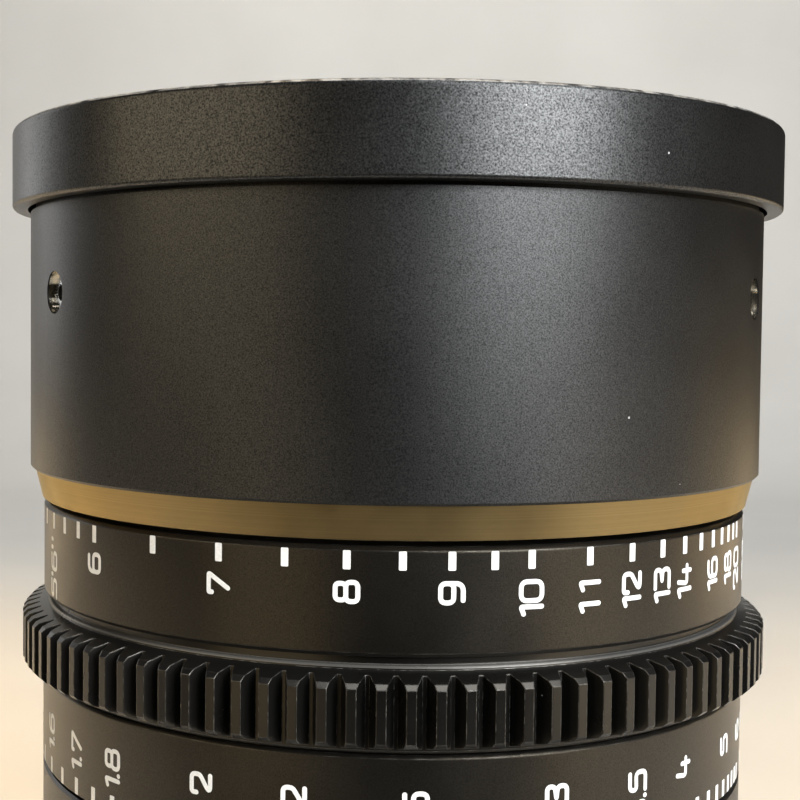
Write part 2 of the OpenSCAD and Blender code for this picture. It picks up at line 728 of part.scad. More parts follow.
module main_barrel() {
    color("#2a2a2c") difference() {
        union() {
            tube(main_r, main_in, z_rear0, z_cup_floor);
            tube(main_r, rear_bore / 2, z_rear0, z_rear0 + rear_bore_len);
            tube(shoulder_r, main_in, z_shoulder, z_cup_floor);
            tube(cup_r, main_in, z_cup0, z_cup_floor);
            tube(cup_r, cup_in, z_cup_floor, z_cup1);
        }
        for (a = follower_angles) guide_slot(a);
        arc(main_r + cut, main_in - cut, z_iris_pin - iris_slot_half, z_iris_pin + iris_slot_half,
            iris_pin_angle - pin_margin, iris_travel + 2 * pin_margin);
        tube(main_in + retainer_groove, main_in - cut, z_iris_retainer, z_iris_retainer + iris_retainer_t);
        radial_pin(main_r - main_wall / 2, main_r + cut, stop_pin_d + 2 * pin_fit, stop_angle, z_stop_pin);
        for (i = [0 : grub_count - 1])
            radial_pin(cup_r - grub_reach, cup_r + cut, grub_d + 2 * pin_fit, grub_at(i), z_grub);
        for (a = mount_screw_angles) translate(concat(polar(mount_circle_d / 2, a), z_rear0 - cut))
            cylinder(h = mount_screw_len - z_rear0 + end_gap + cut, d = mount_screw_d + 2 * pin_fit);
    }
}

// Straight slot in the inner barrel that keeps a follower from turning
module guide_slot(angle) {
    half = roller_r + roller_fit;
    z0 = z_follower + travel_low - slot_end;
    z1 = z_follower + travel_high + slot_end;
    radial_pin(main_in - cut, main_r + cut, 2 * half, angle, z0);
    radial_pin(main_in - cut, main_r + cut, 2 * half, angle, z1);
    rotate([0, 0, angle]) translate([main_in - cut, -half, z0])
        cube([main_wall + 2 * cut, 2 * half, z1 - z0]);
}

module front_cell() {
    color("#1d1d1f") difference() {
        union() {
            translate([0, 0, z_cup_floor]) cylinder(h = z_cell1 - z_cup_floor, r = cell_r);
            translate([0, 0, z_cell0]) cylinder(h = cell_tail, r = main_in - seat_fit);
        }
        translate([0, 0, z_front_retainer]) cylinder(h = z_cell1, r = retainer_r);
        translate([0, 0, z_front_glass]) cylinder(h = z_cell1, r = front_glass + seat_fit);
        translate([0, 0, z_second]) cylinder(h = z_cell1, r = second_glass + seat_fit);
        translate([0, 0, z_cell0 - cut]) cylinder(h = z_cell1, r = second_retainer_in);
    }
}

module front_element() {
    color("#7f97b5", 0.4)
        element(front_glass, z_front_glass, front_glass_edge, front_glass_r, front_glass_back);
}

// Retaining ring whose inside widens towards the front in steps, as a light trap
module front_retainer() {
    rise = (z_cell1 - z_front_retainer) / trap_steps;
    tread = (retainer_r - seat_fit - front_retainer_top - front_retainer_in) / (trap_steps - 1);
    steps = [for (k = [0 : trap_steps - 1], end = [0, 1])
        [front_retainer_in + k * tread, z_front_retainer + (k + end) * rise]];
    color("#121212") rotate_extrude()
        polygon(concat(steps, [[retainer_r - seat_fit, z_cell1], [retainer_r - seat_fit, z_front_retainer]]));
}

module second_element() {
    color("#7f97b5", 0.4)
        element(second_glass, z_second, second_glass_edge, second_glass_r, second_glass_back);
}

module second_retainer() {
    color("#121212") retainer(second_glass, second_retainer_in, z_second_retainer);
}

module focus_carriage() {
    color("#3a3a3d") difference() {
        translate([0, 0, z_carriage0]) cylinder(h = z_carriage1 - z_carriage0, r = carriage_r);
        translate([0, 0, z_carriage_glass]) cylinder(h = z_carriage1, r = carriage_glass + seat_fit);
        translate([0, 0, z_carriage0 - cut]) cylinder(h = z_carriage1, r = carriage_rear_in);
        translate([0, 0, z_carriage0 - cut])
            cylinder(h = z_carriage_rear - z_carriage0 + cut, r = carriage_rear + seat_fit);
        for (a = follower_angles)
            radial_pin(follower_in, carriage_r + cut, follower_d + 2 * pin_fit, a, z_follower);
    }
}

module carriage_front_element() {
    color("#7f97b5", 0.4)
        element(carriage_glass, z_carriage_glass, carriage_glass_edge, carriage_glass_r, carriage_inner_r);
}

module carriage_rear_element() {
    color("#7f97b5", 0.4) mirror([0, 0, 1])
        element(carriage_rear, -z_carriage_rear, carriage_glass_edge, carriage_rear_r, carriage_inner_r);
}

module carriage_retainer() {
    color("#121212") retainer(carriage_glass, carriage_retainer_in, z_carriage_retainer);
}

module carriage_rear_retainer() {
    color("#121212") retainer(carriage_rear, carriage_rear_in, z_carriage_rear_retainer - retainer_len);
}

module follower_pins() {
    color("#9a9a98") for (a = follower_angles)
        radial_pin(follower_in, sleeve_r - run_gap, follower_d, a, z_follower);
}

// Roller on each follower pin between two radii
module rollers(r0, r1) {
    for (a = follower_angles) difference() {
        radial_pin(r0, r1, roller_d, a, z_follower);
        radial_pin(r0 - cut, r1 + cut, follower_d + 2 * pin_fit, a, z_follower);
    }
}

module guide_rollers() {
    color("#c9a14a") rollers(main_in + run_gap, main_r - run_gap);
}

module cam_rollers() {
    color("#c9a14a") rollers(sleeve_in + run_gap, sleeve_r - run_gap);
}

module index_barrel() {
    color("#161616") band(index_d / 2, main_r + seat_fit, z_index0, z_index1, ring_edge);
}

module iris_ring() {
    color("#171717") difference() {
        union() {
            band(iris_r, iris_in, z_iris_gear1, z_iris1, ring_edge);
            tube(iris_hub_r, iris_in, z_iris0, z_iris_gear1);
        }
        radial_pin(iris_in - cut, iris_r - cut, iris_pin_d + 2 * pin_fit, iris_pin_angle, z_iris_pin);
    }
}

module iris_gear() {
    color("#131313") intersection() {
        translate([0, 0, z_iris0]) linear_extrude(iris_gear_len) difference() {
            polygon(gear_outline(iris_teeth));
            circle(iris_hub_r + seat_fit);
        }
        rotate_extrude() polygon(concat(
            [[iris_in, z_iris0], [iris_root_r - run_gap, z_iris0]],
            tip_profile(iris_tip_r, z_iris0 + gear_low_slope + gear_tip_edge,
                z_iris_gear1 - gear_top_slope - gear_tip_edge),
            [[iris_root_r - run_gap, z_iris_gear1], [iris_in, z_iris_gear1]]));
    }
}

module iris_drive_pin() {
    color("#9a9a98")
        radial_pin(actuator_r - actuator_rim, iris_r - cut - pin_fit, iris_pin_d, iris_pin_angle, z_iris_pin);
}

module iris_actuator_ring() {
    color("#6b6b6e") difference() {
        union() {
            tube(actuator_r, actuator_in, z_actuator0, z_actuator1);
            tube(actuator_r, actuator_r - actuator_rim, z_actuator0, z_actuator_rim);
        }
        for (i = [0 : blade_count - 1]) rotate([0, 0, blade_at(i)])
            translate([0, 0, z_actuator0 - cut]) linear_extrude(actuator_t + 2 * cut)
                polygon(scroll_slot(blade_pin_d / 2 + roller_fit));
        radial_pin(actuator_in, actuator_r + cut, iris_pin_d + 2 * pin_fit, iris_pin_angle, z_iris_pin);
    }
}

module iris_housing() {
    color("#2a2a2c") difference() {
        tube(housing_r, iris_stop_in, z_floor0, z_floor1);
        for (i = [0 : blade_count - 1]) translate(concat(polar(pivot_r, blade_at(i)), z_floor0 - cut))
            cylinder(h = iris_floor + 2 * cut, d = pivot_pin_d + 2 * pin_fit);
    }
}

module iris_pivot_pins() {
    color("#9a9a98") for (i = [0 : blade_count - 1])
        translate(concat(polar(pivot_r, blade_at(i)), z_floor0))
            cylinder(h = z_actuator0 - z_floor0 - blade_gap / 2, d = pivot_pin_d);
}

module iris_retainer() {
    color("#2a2a2c")
        tube(main_in + retainer_groove - seat_fit, actuator_r - 2 * actuator_rim,
            z_iris_retainer, z_iris_retainer + iris_retainer_t);
}

// One blade, open: its band lies round the aperture, its tail carries the drive pin
module iris_blade(i) {
    z = z_blades + i * blade_pitch;
    pin = blade_pin(0);
    color("#3c3c3e") rotate([0, 0, blade_at(i)]) difference() {
        union() {
            translate([0, 0, z]) linear_extrude(blade_t) polygon(blade_band());
            translate([pivot_r, 0, z]) cylinder(h = blade_t, r = blade_boss);
            translate([pivot_r, 0, z]) rotate([0, 0, 90 + blade_swing / 2])
                translate([0, -lever_half, 0]) cube([blade_lever, 2 * lever_half, blade_t]);
            translate(concat(pin, z)) cylinder(h = blade_t, r = lever_boss);
            translate(concat(pin, z)) cylinder(h = z_actuator1 - z, d = blade_pin_d);
        }
        translate([pivot_r, 0, z - cut]) cylinder(h = blade_t + 2 * cut, d = pivot_pin_d + 2 * pin_fit);
    }
}

module rear_barrel() {
    color("#161616") rotate_extrude() polygon([
        [main_r + seat_fit, z_rear0], [rear_neck_r, z_rear0],
        [rear_neck_r, z_rear0 + rear_neck], [rear_d / 2, z_rear0 + rear_neck + rear_taper],
        [rear_d / 2, z_rear1 - ring_edge], [rear_d / 2 - ring_edge, z_rear1], [main_r + seat_fit, z_rear1]]);
}

module lens_mount() {
    color("#c4c4c2") difference() {
        union() {
            translate([0, 0, -register_len]) cylinder(h = register_len + flange_t, r = register_r);
            cylinder(h = flange_t, d = flange_d);
            for (i = [0 : lug_count - 1])
                arc(lug_d / 2, register_in, 0, flange_t, lug_at(i) - lug_span / 2, lug_span);
        }
        translate([0, 0, -register_len - cut])
            cylinder(h = register_len + flange_t + 2 * cut, r = register_in);
        translate([lug_d / 2 - notch_depth, -notch_w / 2, -cut])
            cube([notch_depth + cut, notch_w, flange_t + 2 * cut]);
        for (a = mount_screw_angles) translate(polar(mount_circle_d / 2, a)) {
            translate([0, 0, -cut]) cylinder(h = flange_t + 2 * cut, d = mount_screw_d + 2 * pin_fit);
            translate([0, 0, head_sink])
                cylinder(h = countersink, d1 = mount_head_d + 2 * pin_fit, d2 = mount_screw_d + 2 * pin_fit);
            translate([0, 0, -cut]) cylinder(h = head_sink + cut, d = mount_head_d + 2 * pin_fit);
        }
    }
}

module mount_shim() {
    color("#b58f4c") difference() {
        tube(main_r, rear_bore / 2, z_shim, z_rear0);
        for (a = mount_screw_angles) translate(concat(polar(mount_circle_d / 2, a), z_shim - cut))
            cylinder(h = shim_t + 2 * cut, d = mount_screw_d + 2 * pin_fit);
    }
}

module mount_screws() {
    color("#8f8f8f") for (a = mount_screw_angles) translate(concat(polar(mount_circle_d / 2, a), head_sink))
        difference() {
            union() {
                cylinder(h = countersink, d1 = mount_head_d, d2 = mount_screw_d);
                cylinder(h = mount_screw_len - head_sink, d = mount_screw_d);
            }
            translate([-mount_head_d, -countersink / 2, -cut])
                cube([2 * mount_head_d, countersink, cut + countersink / 2]);
        }
}

module rear_cell() {
    color("#1d1d1f") difference() {
        union() {
            translate([0, 0, z_rear0]) cylinder(h = rear_cell_ahead, r = rear_cell_r);
            rotate_extrude() polygon([[0, z_tail], [tail_r - tail_edge, z_tail], [tail_r, z_tail + tail_edge],
                [tail_r, z_rear0], [0, z_rear0]]);
        }
        translate([0, 0, z_doublet]) cylinder(h = rear_cell_ahead, r = doublet + seat_fit);
        translate([0, 0, z_tail - cut]) cylinder(h = tail_len + rear_cell_ahead, r = doublet_retainer_in);
        translate([0, 0, z_tail - cut])
            cylinder(h = rear_glass_setback + rear_glass_edge + cut, r = rear_glass + seat_fit);
    }
}

// Rear half of the doublet, hollow at the cemented face
module rear_flint() {
    color("#7f97b5", 0.4) rotate_extrude() difference() {
        translate([0, z_doublet]) square([doublet, doublet_edge]);
        glass_disc(doublet_inner_r, z_cement, 1);
    }
}

// Front half of the doublet, convex on both faces
module rear_crown() {
    color("#7f97b5", 0.4) rotate_extrude() intersection() {
        translate([0, z_cement]) square([doublet, z_doublet_vertex - z_cement]);
        glass_disc(doublet_inner_r, z_cement, 1);
        glass_disc(doublet_front_r, z_doublet_vertex, -1);
    }
}

module doublet_retainer() {
    color("#121212") retainer(doublet, doublet_retainer_in, z_doublet_retainer);
}

module rear_element() {
    color("#7f97b5", 0.4) rotate_extrude() intersection() {
        translate([0, z_rear_vertex]) square([rear_glass, z_rear_glass + rear_glass_edge - z_rear_vertex]);
        glass_disc(rear_glass_r, z_rear_vertex, 1);
    }
}

module rear_retainer() {
    color("#121212") retainer(rear_glass, rear_retainer_in, z_rear_retainer - retainer_len);
}

front_cap();
cap_liner();
front_barrel();
barrel_grub_screws();
accent_ring();
feet_scale_ring();
focus_gear();
metre_scale_ring();
cam_sleeve();
front_glide_ring();
rear_glide_ring();
focus_stop_pin();
main_barrel();
front_cell();
front_element();
front_retainer();
second_element();
second_retainer();
focus_carriage();
carriage_front_element();
carriage_rear_element();
carriage_retainer();
carriage_rear_retainer();
follower_pins();
guide_rollers();
cam_rollers();
index_barrel();
iris_ring();
iris_gear();
iris_drive_pin();
iris_actuator_ring();
iris_housing();
iris_pivot_pins();
iris_retainer();
iris_blade(0);  // iris_blade_1
iris_blade(1);  // iris_blade_2
iris_blade(2);  // iris_blade_3
iris_blade(3);  // iris_blade_4
iris_blade(4);  // iris_blade_5
iris_blade(5);  // iris_blade_6
iris_blade(6);  // iris_blade_7
iris_blade(7);  // iris_blade_8
iris_blade(8);  // iris_blade_9
rear_barrel();
lens_mount();
mount_shim();
mount_screws();
rear_cell();
rear_crown();
rear_flint();
doublet_retainer();
rear_element();
rear_retainer();
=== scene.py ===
"""Looks of the cinema prime lens: finishes, scale marks, studio and camera."""

import json
import logging
import math
from dataclasses import dataclass, field
from enum import Enum
from typing import Callable, Iterable, Sequence

import bpy
from mathutils import Matrix, Vector


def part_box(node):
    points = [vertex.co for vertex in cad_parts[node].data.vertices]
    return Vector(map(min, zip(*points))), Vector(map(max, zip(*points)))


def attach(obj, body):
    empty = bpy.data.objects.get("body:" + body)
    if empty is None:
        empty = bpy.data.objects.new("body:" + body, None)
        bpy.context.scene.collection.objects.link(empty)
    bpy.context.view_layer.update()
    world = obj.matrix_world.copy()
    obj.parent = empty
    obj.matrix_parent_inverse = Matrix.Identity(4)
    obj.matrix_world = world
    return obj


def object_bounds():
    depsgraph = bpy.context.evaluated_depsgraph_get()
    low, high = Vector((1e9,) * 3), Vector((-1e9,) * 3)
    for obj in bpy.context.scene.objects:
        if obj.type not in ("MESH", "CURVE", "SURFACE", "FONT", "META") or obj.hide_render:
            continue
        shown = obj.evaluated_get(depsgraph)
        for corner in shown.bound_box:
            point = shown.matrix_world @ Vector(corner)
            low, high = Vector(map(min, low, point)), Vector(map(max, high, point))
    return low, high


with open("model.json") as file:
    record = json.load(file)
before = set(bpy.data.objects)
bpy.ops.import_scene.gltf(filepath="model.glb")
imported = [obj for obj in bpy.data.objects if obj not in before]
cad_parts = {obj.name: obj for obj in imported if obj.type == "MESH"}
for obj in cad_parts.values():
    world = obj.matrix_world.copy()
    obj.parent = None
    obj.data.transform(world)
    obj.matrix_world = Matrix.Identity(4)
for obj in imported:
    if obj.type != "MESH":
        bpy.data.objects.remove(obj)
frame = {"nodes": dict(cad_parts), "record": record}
CAD_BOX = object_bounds()

log = logging.getLogger("lens")

MM = 0.001
INCHES = 12
TINY = 1e-6
# Radians that Blender's wave texture runs through for each unit of its scale
WAVE_RATE = 20
# Rays that look for an edge beside a point
EDGE_SAMPLES = 6
# Middle of the part that the camera sees, in metres
LENS_MIDDLE = (0.0, 0.0, 0.085)
# Steps of a stroke's round end, in half widths
ROUND_END = (0.0, 0.3, 0.6, 0.85, 0.97)

Colour = tuple[float, float, float]
Point = tuple[float, float]


class Body(str, Enum):
    """Moving groups of the lens."""

    LENS = "lens_body"
    FOCUS = "focus_ring"
    IRIS = "iris_control"


class Slot(str, Enum):
    """Material slots of the record."""

    CAP = "cap_plastic"
    FELT = "felt"
    BARREL = "barrel_black"
    RING = "ring_black"
    GEAR = "gear_black"
    BRONZE = "bronze"
    INNER = "inner_black"
    SCREW = "screw_steel"
    MOUNT = "mount_steel"
    ACTUATOR = "actuator_steel"
    BLADE = "blade_steel"
    BRASS = "brass"
    GLIDE = "glide_plastic"
    GLASS = "coated_glass"


class Graph:
    """Shader graph of one material, with short calls for the nodes that the finishes use."""

    def __init__(self, name: str) -> None:
        """Start a material.

        Args:
            name: Name of the material.
        """
        self.material = bpy.data.materials.new(name)
        self.material.use_nodes = True
        self.tree = self.material.node_tree
        self.shader = self.tree.nodes["Principled BSDF"]

    def add(self, kind: str, inputs: dict | None = None, **settings: object) -> bpy.types.Node:
        """Add a node.

        Args:
            kind: Type of the node, without its ShaderNode prefix.
            inputs: Values or output sockets for its inputs, by name or index.
            settings: Properties of the node.

        Returns:
            The node.
        """
        node = self.tree.nodes.new("ShaderNode" + kind)
        for key, value in settings.items():
            setattr(node, key, value)
        for key, value in (inputs or {}).items():
            self.put(node.inputs[key], value)
        return node

    def put(self, socket: bpy.types.NodeSocket, value: object) -> None:
        """Link an output to a socket, or set the socket's own value.

        Args:
            socket: Input that takes the value.
            value: An output socket, or a plain value.
        """
        if isinstance(value, bpy.types.NodeSocket):
            self.tree.links.new(value, socket)
        else:
            socket.default_value = value

    def set(self, **inputs: object) -> None:
        """Set inputs of the Principled shader.

        Args:
            inputs: Values by the input's name in lower case, with an underscore for a space.
        """
        names = {socket.name.lower().replace(" ", "_"): socket for socket in self.shader.inputs}
        for key, value in inputs.items():
            self.put(names[key], (*value, 1.0) if isinstance(value, tuple) and len(value) == 3 else value)

    def now(self, name: str) -> bpy.types.NodeSocket:
        """Find what an input of the Principled shader is linked to so far.

        Args:
            name: Name of the input.

        Returns:
            The linked output.
        """
        return self.shader.inputs[name].links[0].from_socket

    def place(self) -> bpy.types.NodeSocket:
        """Returns: The object's own coordinates, in metres."""
        return self.add("TexCoord").outputs["Object"]

    def math(self, operation: str, *values: object) -> bpy.types.NodeSocket:
        """Apply one arithmetic step.

        Args:
            operation: Blender's name of the operation.
            values: Sockets or numbers, in order.

        Returns:
            The result.
        """
        return self.add("Math", dict(enumerate(values)), operation=operation).outputs[0]

    def noise(self, at: bpy.types.NodeSocket, size: float, detail: float = 2.0) -> bpy.types.NodeSocket:
        """Add a noise texture.

        Args:
            at: Coordinates.
            size: Width of its grains, in metres.
            detail: Octaves.

        Returns:
            The grey value.
        """
        return self.add("TexNoise", {"Vector": at, "Scale": 1 / size, "Detail": detail}).outputs[0]

    def spread(self, value: bpy.types.NodeSocket, low: float, high: float,
               start: float = 0.3, end: float = 0.7) -> bpy.types.NodeSocket:
        """Stretch a grey value to a range.

        Args:
            value: Grey value.
            low: Result at the start.
            high: Result at the end.
            start: Grey value that gives low.
            end: Grey value that gives high.

        Returns:
            The stretched value.
        """
        return self.add("MapRange", {0: value, 1: start, 2: end, 3: low, 4: high}).outputs[0]

    def ramp(self, value: bpy.types.NodeSocket,
             stops: Sequence[tuple[float, Colour]]) -> bpy.types.NodeSocket:
        """Turn a grey value into a colour.

        Args:
            value: Grey value.
            stops: Places from 0 to 1, with their colours.

        Returns:
            The colour.
        """
        node = self.add("ValToRGB", {0: value})
        elements = node.color_ramp.elements
        while len(elements) < len(stops):
            elements.new(0.5)
        for element, (place, colour) in zip(elements, stops):
            element.position = place
            element.color = (*colour, 1.0)
        return node.outputs[0]

    def mix(self, share: bpy.types.NodeSocket, low: object, high: object) -> bpy.types.NodeSocket:
        """Mix two colours.

        Args:
            share: Share of the second.
            low: First colour.
            high: Second colour.

        Returns:
            The mixed colour.
        """
        node = self.add("Mix", data_type="RGBA")
        for key, value in ((0, share), (6, low), (7, high)):
            self.put(node.inputs[key], (*value, 1.0) if isinstance(value, tuple) else value)
        return node.outputs[2]

    def bump(self, height: bpy.types.NodeSocket, depth: float,
             normal: bpy.types.NodeSocket | None = None) -> bpy.types.NodeSocket:
        """Raise the surface by a height texture.

        Args:
            height: Height from 0 to 1.
            depth: Height of 1, in metres.
            normal: Normal of an earlier bump.

        Returns:
            The new normal.
        """
        inputs = {"Height": height, "Distance": depth}
        if normal is not None:
            inputs["Normal"] = normal
        return self.add("Bump", inputs).outputs[0]

    def eased(self, radius: object) -> bpy.types.NodeSocket:
        """Round the shading over sharp edges.

        Args:
            radius: Radius of the rounding in metres, a number or a socket.

        Returns:
            The normal.
        """
        return self.add("Bevel", {"Radius": radius}, samples=EDGE_SAMPLES).outputs[0]

    def turned(self, at: bpy.types.NodeSocket) -> bpy.types.NodeSocket:
        """Find the place across a lathe's tool marks.

        Args:
            at: Coordinates.

        Returns:
            Coordinates with the radius first and the height last, the same all round the axis.
        """
        part = self.add("SeparateXYZ", {0: at}).outputs
        flat = self.add("CombineXYZ", {0: part[0], 1: part[1], 2: 0.0}).outputs[0]
        radius = self.add("VectorMath", {0: flat}, operation="LENGTH").outputs["Value"]
        return self.add("CombineXYZ", {0: radius, 1: 0.0, 2: part[2]}).outputs[0]

    def within(self, part: Sequence[bpy.types.NodeSocket], radius: float,
               heights: Point) -> bpy.types.NodeSocket:
        """Mark the places inside a radius and between two heights.

        Args:
            part: Coordinates across a lathe's tool marks, split into three.
            radius: Greatest radius.
            heights: Lower and upper height.

        Returns:
            1 inside and 0 outside.
        """
        inside = self.math("LESS_THAN", part[0], radius)
        return self.math("MULTIPLY", inside, self.between(part[2], heights))

    def between(self, height: bpy.types.NodeSocket, heights: Point) -> bpy.types.NodeSocket:
        """Mark the places between two heights.

        Args:
            height: Height of the place.
            heights: Lower and upper height.

        Returns:
            1 between them and 0 elsewhere.
        """
        above = self.math("GREATER_THAN", height, heights[0])
        return self.math("MULTIPLY", above, self.math("LESS_THAN", height, heights[1]))

    def dust(self, at: bpy.types.NodeSocket, spacing: float, size: float,
             share: float) -> bpy.types.NodeSocket:
        """Scatter small specks.

        Args:
            at: Coordinates.
            spacing: Distance between the places where a speck may lie.
            size: Greatest radius of a speck, as a part of the spacing.
            share: Share of the places that hold one.

        Returns:
            1 on a speck and 0 elsewhere.
        """
        cells = self.add("TexVoronoi", {"Vector": at, "Scale": 1 / spacing})
        draw = self.add("SeparateColor", {0: cells.outputs["Color"]}).outputs
        reach = self.math("MULTIPLY", draw[1], size)
        near = self.math("LESS_THAN", cells.outputs["Distance"], reach)
        return self.math("MULTIPLY", near, self.math("LESS_THAN", draw[0], share))


@dataclass(frozen=True)
class Finish:
    """A surface finish."""

    name: str

    def material(self) -> bpy.types.Material:
        """Returns: The finish as a material."""
        graph = Graph(self.name)
        self.draw(graph)
        return graph.material

    def draw(self, graph: Graph) -> None:
        """Draw the finish.

        Args:
            graph: Graph of its material.
        """
        raise NotImplementedError


@dataclass(frozen=True)
class Grained(Finish):
    """Black surface with an even grain and a little dust."""

    dark: Colour = (0.003, 0.003, 0.003)
    light: Colour = (0.005, 0.0049, 0.0047)
    smooth: float = 0.38
    rough: float = 0.50
    grain: float = 0.15 * MM
    depth: float = 0.006 * MM
    dust_share: float = 0.10
    dust_colour: Colour = (0.42, 0.42, 0.41)
    lines: float = 0.0
    line_depth: float = 0.0
    fleck: Point = (0.5, 0.5)
    sheen: Colour = (1.0, 1.0, 1.0)
    ease: float = 0.0
    worn_edge: Point = (0.0, 0.0)
    worn_ease: float = 0.0
    cloud: float = 9 * MM
    dust_spacing: float = 2.6 * MM
    dust_size: float = 0.055

    def draw(self, graph: Graph) -> None:
        """Draw the eased edges, the grain, the lathe's lines if it has them, and the dust.

        Args:
            graph: Graph of its material.
        """
        at = graph.place()
        grain = graph.noise(at, self.grain)
        broad = graph.noise(at, self.cloud, 4.0)
        tone = graph.ramp(broad, ((0.3, self.dark), (0.7, self.light)))
        specks = graph.dust(at, self.dust_spacing, self.dust_size, self.dust_share)
        eased = graph.eased(self.easing(graph, at)) if self.ease else None
        normal = graph.bump(grain, self.depth, eased)
        if self.lines:
            normal = graph.bump(graph.noise(graph.turned(at), self.lines, 1.0), self.line_depth, normal)
        graph.set(
            base_color=graph.mix(specks, tone, self.dust_colour),
            roughness=graph.spread(broad, self.smooth, self.rough),
            specular_ior_level=graph.spread(grain, *self.fleck),
            specular_tint=self.sheen,
            normal=normal,
        )

    def easing(self, graph: Graph, at: bpy.types.NodeSocket) -> object:
        """Find how far the edges are eased, with one worn edge that is rounder than the rest.

        Args:
            graph: Graph of the material.
            at: Coordinates.

        Returns:
            The radius, as a number where it is the same all over and as a socket where it isn't.
        """
        if not self.worn_ease:
            return self.ease
        worn = graph.between(graph.add("SeparateXYZ", {0: at}).outputs[2], self.worn_edge)
        return graph.math("MULTIPLY_ADD", worn, self.worn_ease - self.ease, self.ease)


@dataclass(frozen=True)
class Barrel(Grained):
    """Grained black with bare metal in the screw holes and a thread in the recess, sizes in metres."""

    skin: float = 39.85 * MM
    holes: Point = (95.4 * MM, 100.8 * MM)
    recess: float = 38.3 * MM
    thread: Point = (107.4 * MM, 113.0 * MM)
    pitch: float = 0.75 * MM
    bare: Colour = (0.62, 0.58, 0.50)
    polish: float = 0.25
    thread_depth: float = 0.3 * MM

    def draw(self, graph: Graph) -> None:
        """Draw the grain, then the holes and the thread over it.

        Args:
            graph: Graph of its material.
        """
        super().draw(graph)
        at = graph.place()
        part = graph.add("SeparateXYZ", {0: graph.turned(at)}).outputs
        hole = graph.within(part, self.skin, self.holes)
        graph.set(
            base_color=graph.mix(hole, graph.now("Base Color"), self.bare),
            metallic=hole,
            roughness=graph.math("MULTIPLY_ADD", hole, -self.polish, graph.now("Roughness")),
        )
        scale = math.tau / (WAVE_RATE * self.pitch)
        wave = graph.add("TexWave", {"Vector": at, "Scale": scale}, bands_direction="Z")
        ridges = graph.math("MULTIPLY", wave.outputs[1], graph.within(part, self.recess, self.thread))
        graph.set(normal=graph.bump(ridges, self.thread_depth, graph.now("Normal")))


@dataclass(frozen=True)
class Cap(Grained):
    """Grained plastic whose upper rim is rubbed pale, sizes in metres."""

    inside: float = 41.45 * MM
    below: float = 115.22 * MM
    patch: float = 1.2 * MM
    patchy: Point = (0.38, 0.62)
    bare: Colour = (0.30, 0.285, 0.26)

    def draw(self, graph: Graph) -> None:
        """Draw the grain, then the rubbed rim over it.

        Args:
            graph: Graph of its material.
        """
        super().draw(graph)
        at = graph.place()
        part = graph.add("SeparateXYZ", {0: graph.turned(at)}).outputs
        outer = graph.math("GREATER_THAN", part[0], self.inside)
        rim = graph.math("MULTIPLY", outer, graph.math("GREATER_THAN", part[2], self.below))
        patches = graph.spread(graph.noise(at, self.patch, 4.0), 0.0, 1.0, *self.patchy)
        rubbed = graph.math("MULTIPLY", rim, patches)
        graph.set(base_color=graph.mix(rubbed, graph.now("Base Color"), self.bare))


@dataclass(frozen=True)
class Rubbed(Grained):
    """Grained black with sharp edges that are rubbed pale in patches."""

    width: float = 0.09 * MM
    patch: float = 0.7 * MM
    bend: Point = (0.90, 0.99)
    patchy: Point = (0.48, 0.76)
    least: float = 0.03
    bare: Colour = (0.38, 0.37, 0.35)
    worn_share: float = 0.0

    def draw(self, graph: Graph) -> None:
        """Draw the grain, then the rubbed edges over it.

        Args:
            graph: Graph of its material.
        """
        super().draw(graph)
        eased = graph.eased(self.width)
        face = graph.add("NewGeometry").outputs["True Normal"]
        turn = graph.add("VectorMath", {0: eased, 1: face}, operation="DOT_PRODUCT").outputs["Value"]
        edge = graph.spread(turn, 1.0, 0.0, *self.bend)
        patches = graph.spread(graph.noise(graph.place(), self.patch, 3.0), self.least, 1.0, *self.patchy)
        rubbed = graph.math("MULTIPLY", edge, patches)
        if self.worn_share:
            worn = graph.between(graph.add("SeparateXYZ", {0: graph.place()}).outputs[2], self.worn_edge)
            rubbed = graph.math("MAXIMUM", rubbed, graph.math("MULTIPLY", worn, self.worn_share))
        graph.set(base_color=graph.mix(rubbed, graph.now("Base Color"), self.bare), metallic=rubbed)


@dataclass(frozen=True)
class Turned(Finish):
    """Metal with fine lines from a lathe."""

    dark: Colour = (0.40, 0.40, 0.39)
    light: Colour = (0.56, 0.56, 0.55)
    smooth: float = 0.22
    rough: float = 0.34
    pitch: float = 0.12 * MM
    depth: float = 0.002 * MM
    edge: Colour = (1.0, 1.0, 1.0)
    cloud: float = 6 * MM

    def draw(self, graph: Graph) -> None:
        """Draw the metal and its lines.

        Args:
            graph: Graph of its material.
        """
        at = graph.place()
        lines = graph.noise(graph.turned(at), self.pitch, 3.0)
        cloud = graph.noise(at, self.cloud, 3.0)
        graph.set(
            base_color=graph.ramp(lines, ((0.25, self.dark), (0.75, self.light))),
            metallic=1.0,
            specular_tint=self.edge,
            roughness=graph.spread(cloud, self.smooth, self.rough),
            normal=graph.bump(lines, self.depth),
        )


@dataclass(frozen=True)
class Painted(Finish):
    """Paint or plastic with a slight mottle."""

    dark: Colour = (0.62, 0.62, 0.60)
    light: Colour = (0.80, 0.80, 0.78)
    smooth: float = 0.45
    rough: float = 0.6
    grain: float = 0.3 * MM
    depth: float = 0.004 * MM

    def draw(self, graph: Graph) -> None:
        """Draw the mottle.

        Args:
            graph: Graph of its material.
        """
        mottle = graph.noise(graph.place(), self.grain, 3.0)
        graph.set(
            base_color=graph.ramp(mottle, ((0.3, self.dark), (0.7, self.light))),
            roughness=graph.spread(mottle, self.smooth, self.rough),
            normal=graph.bump(mottle, self.depth),
        )


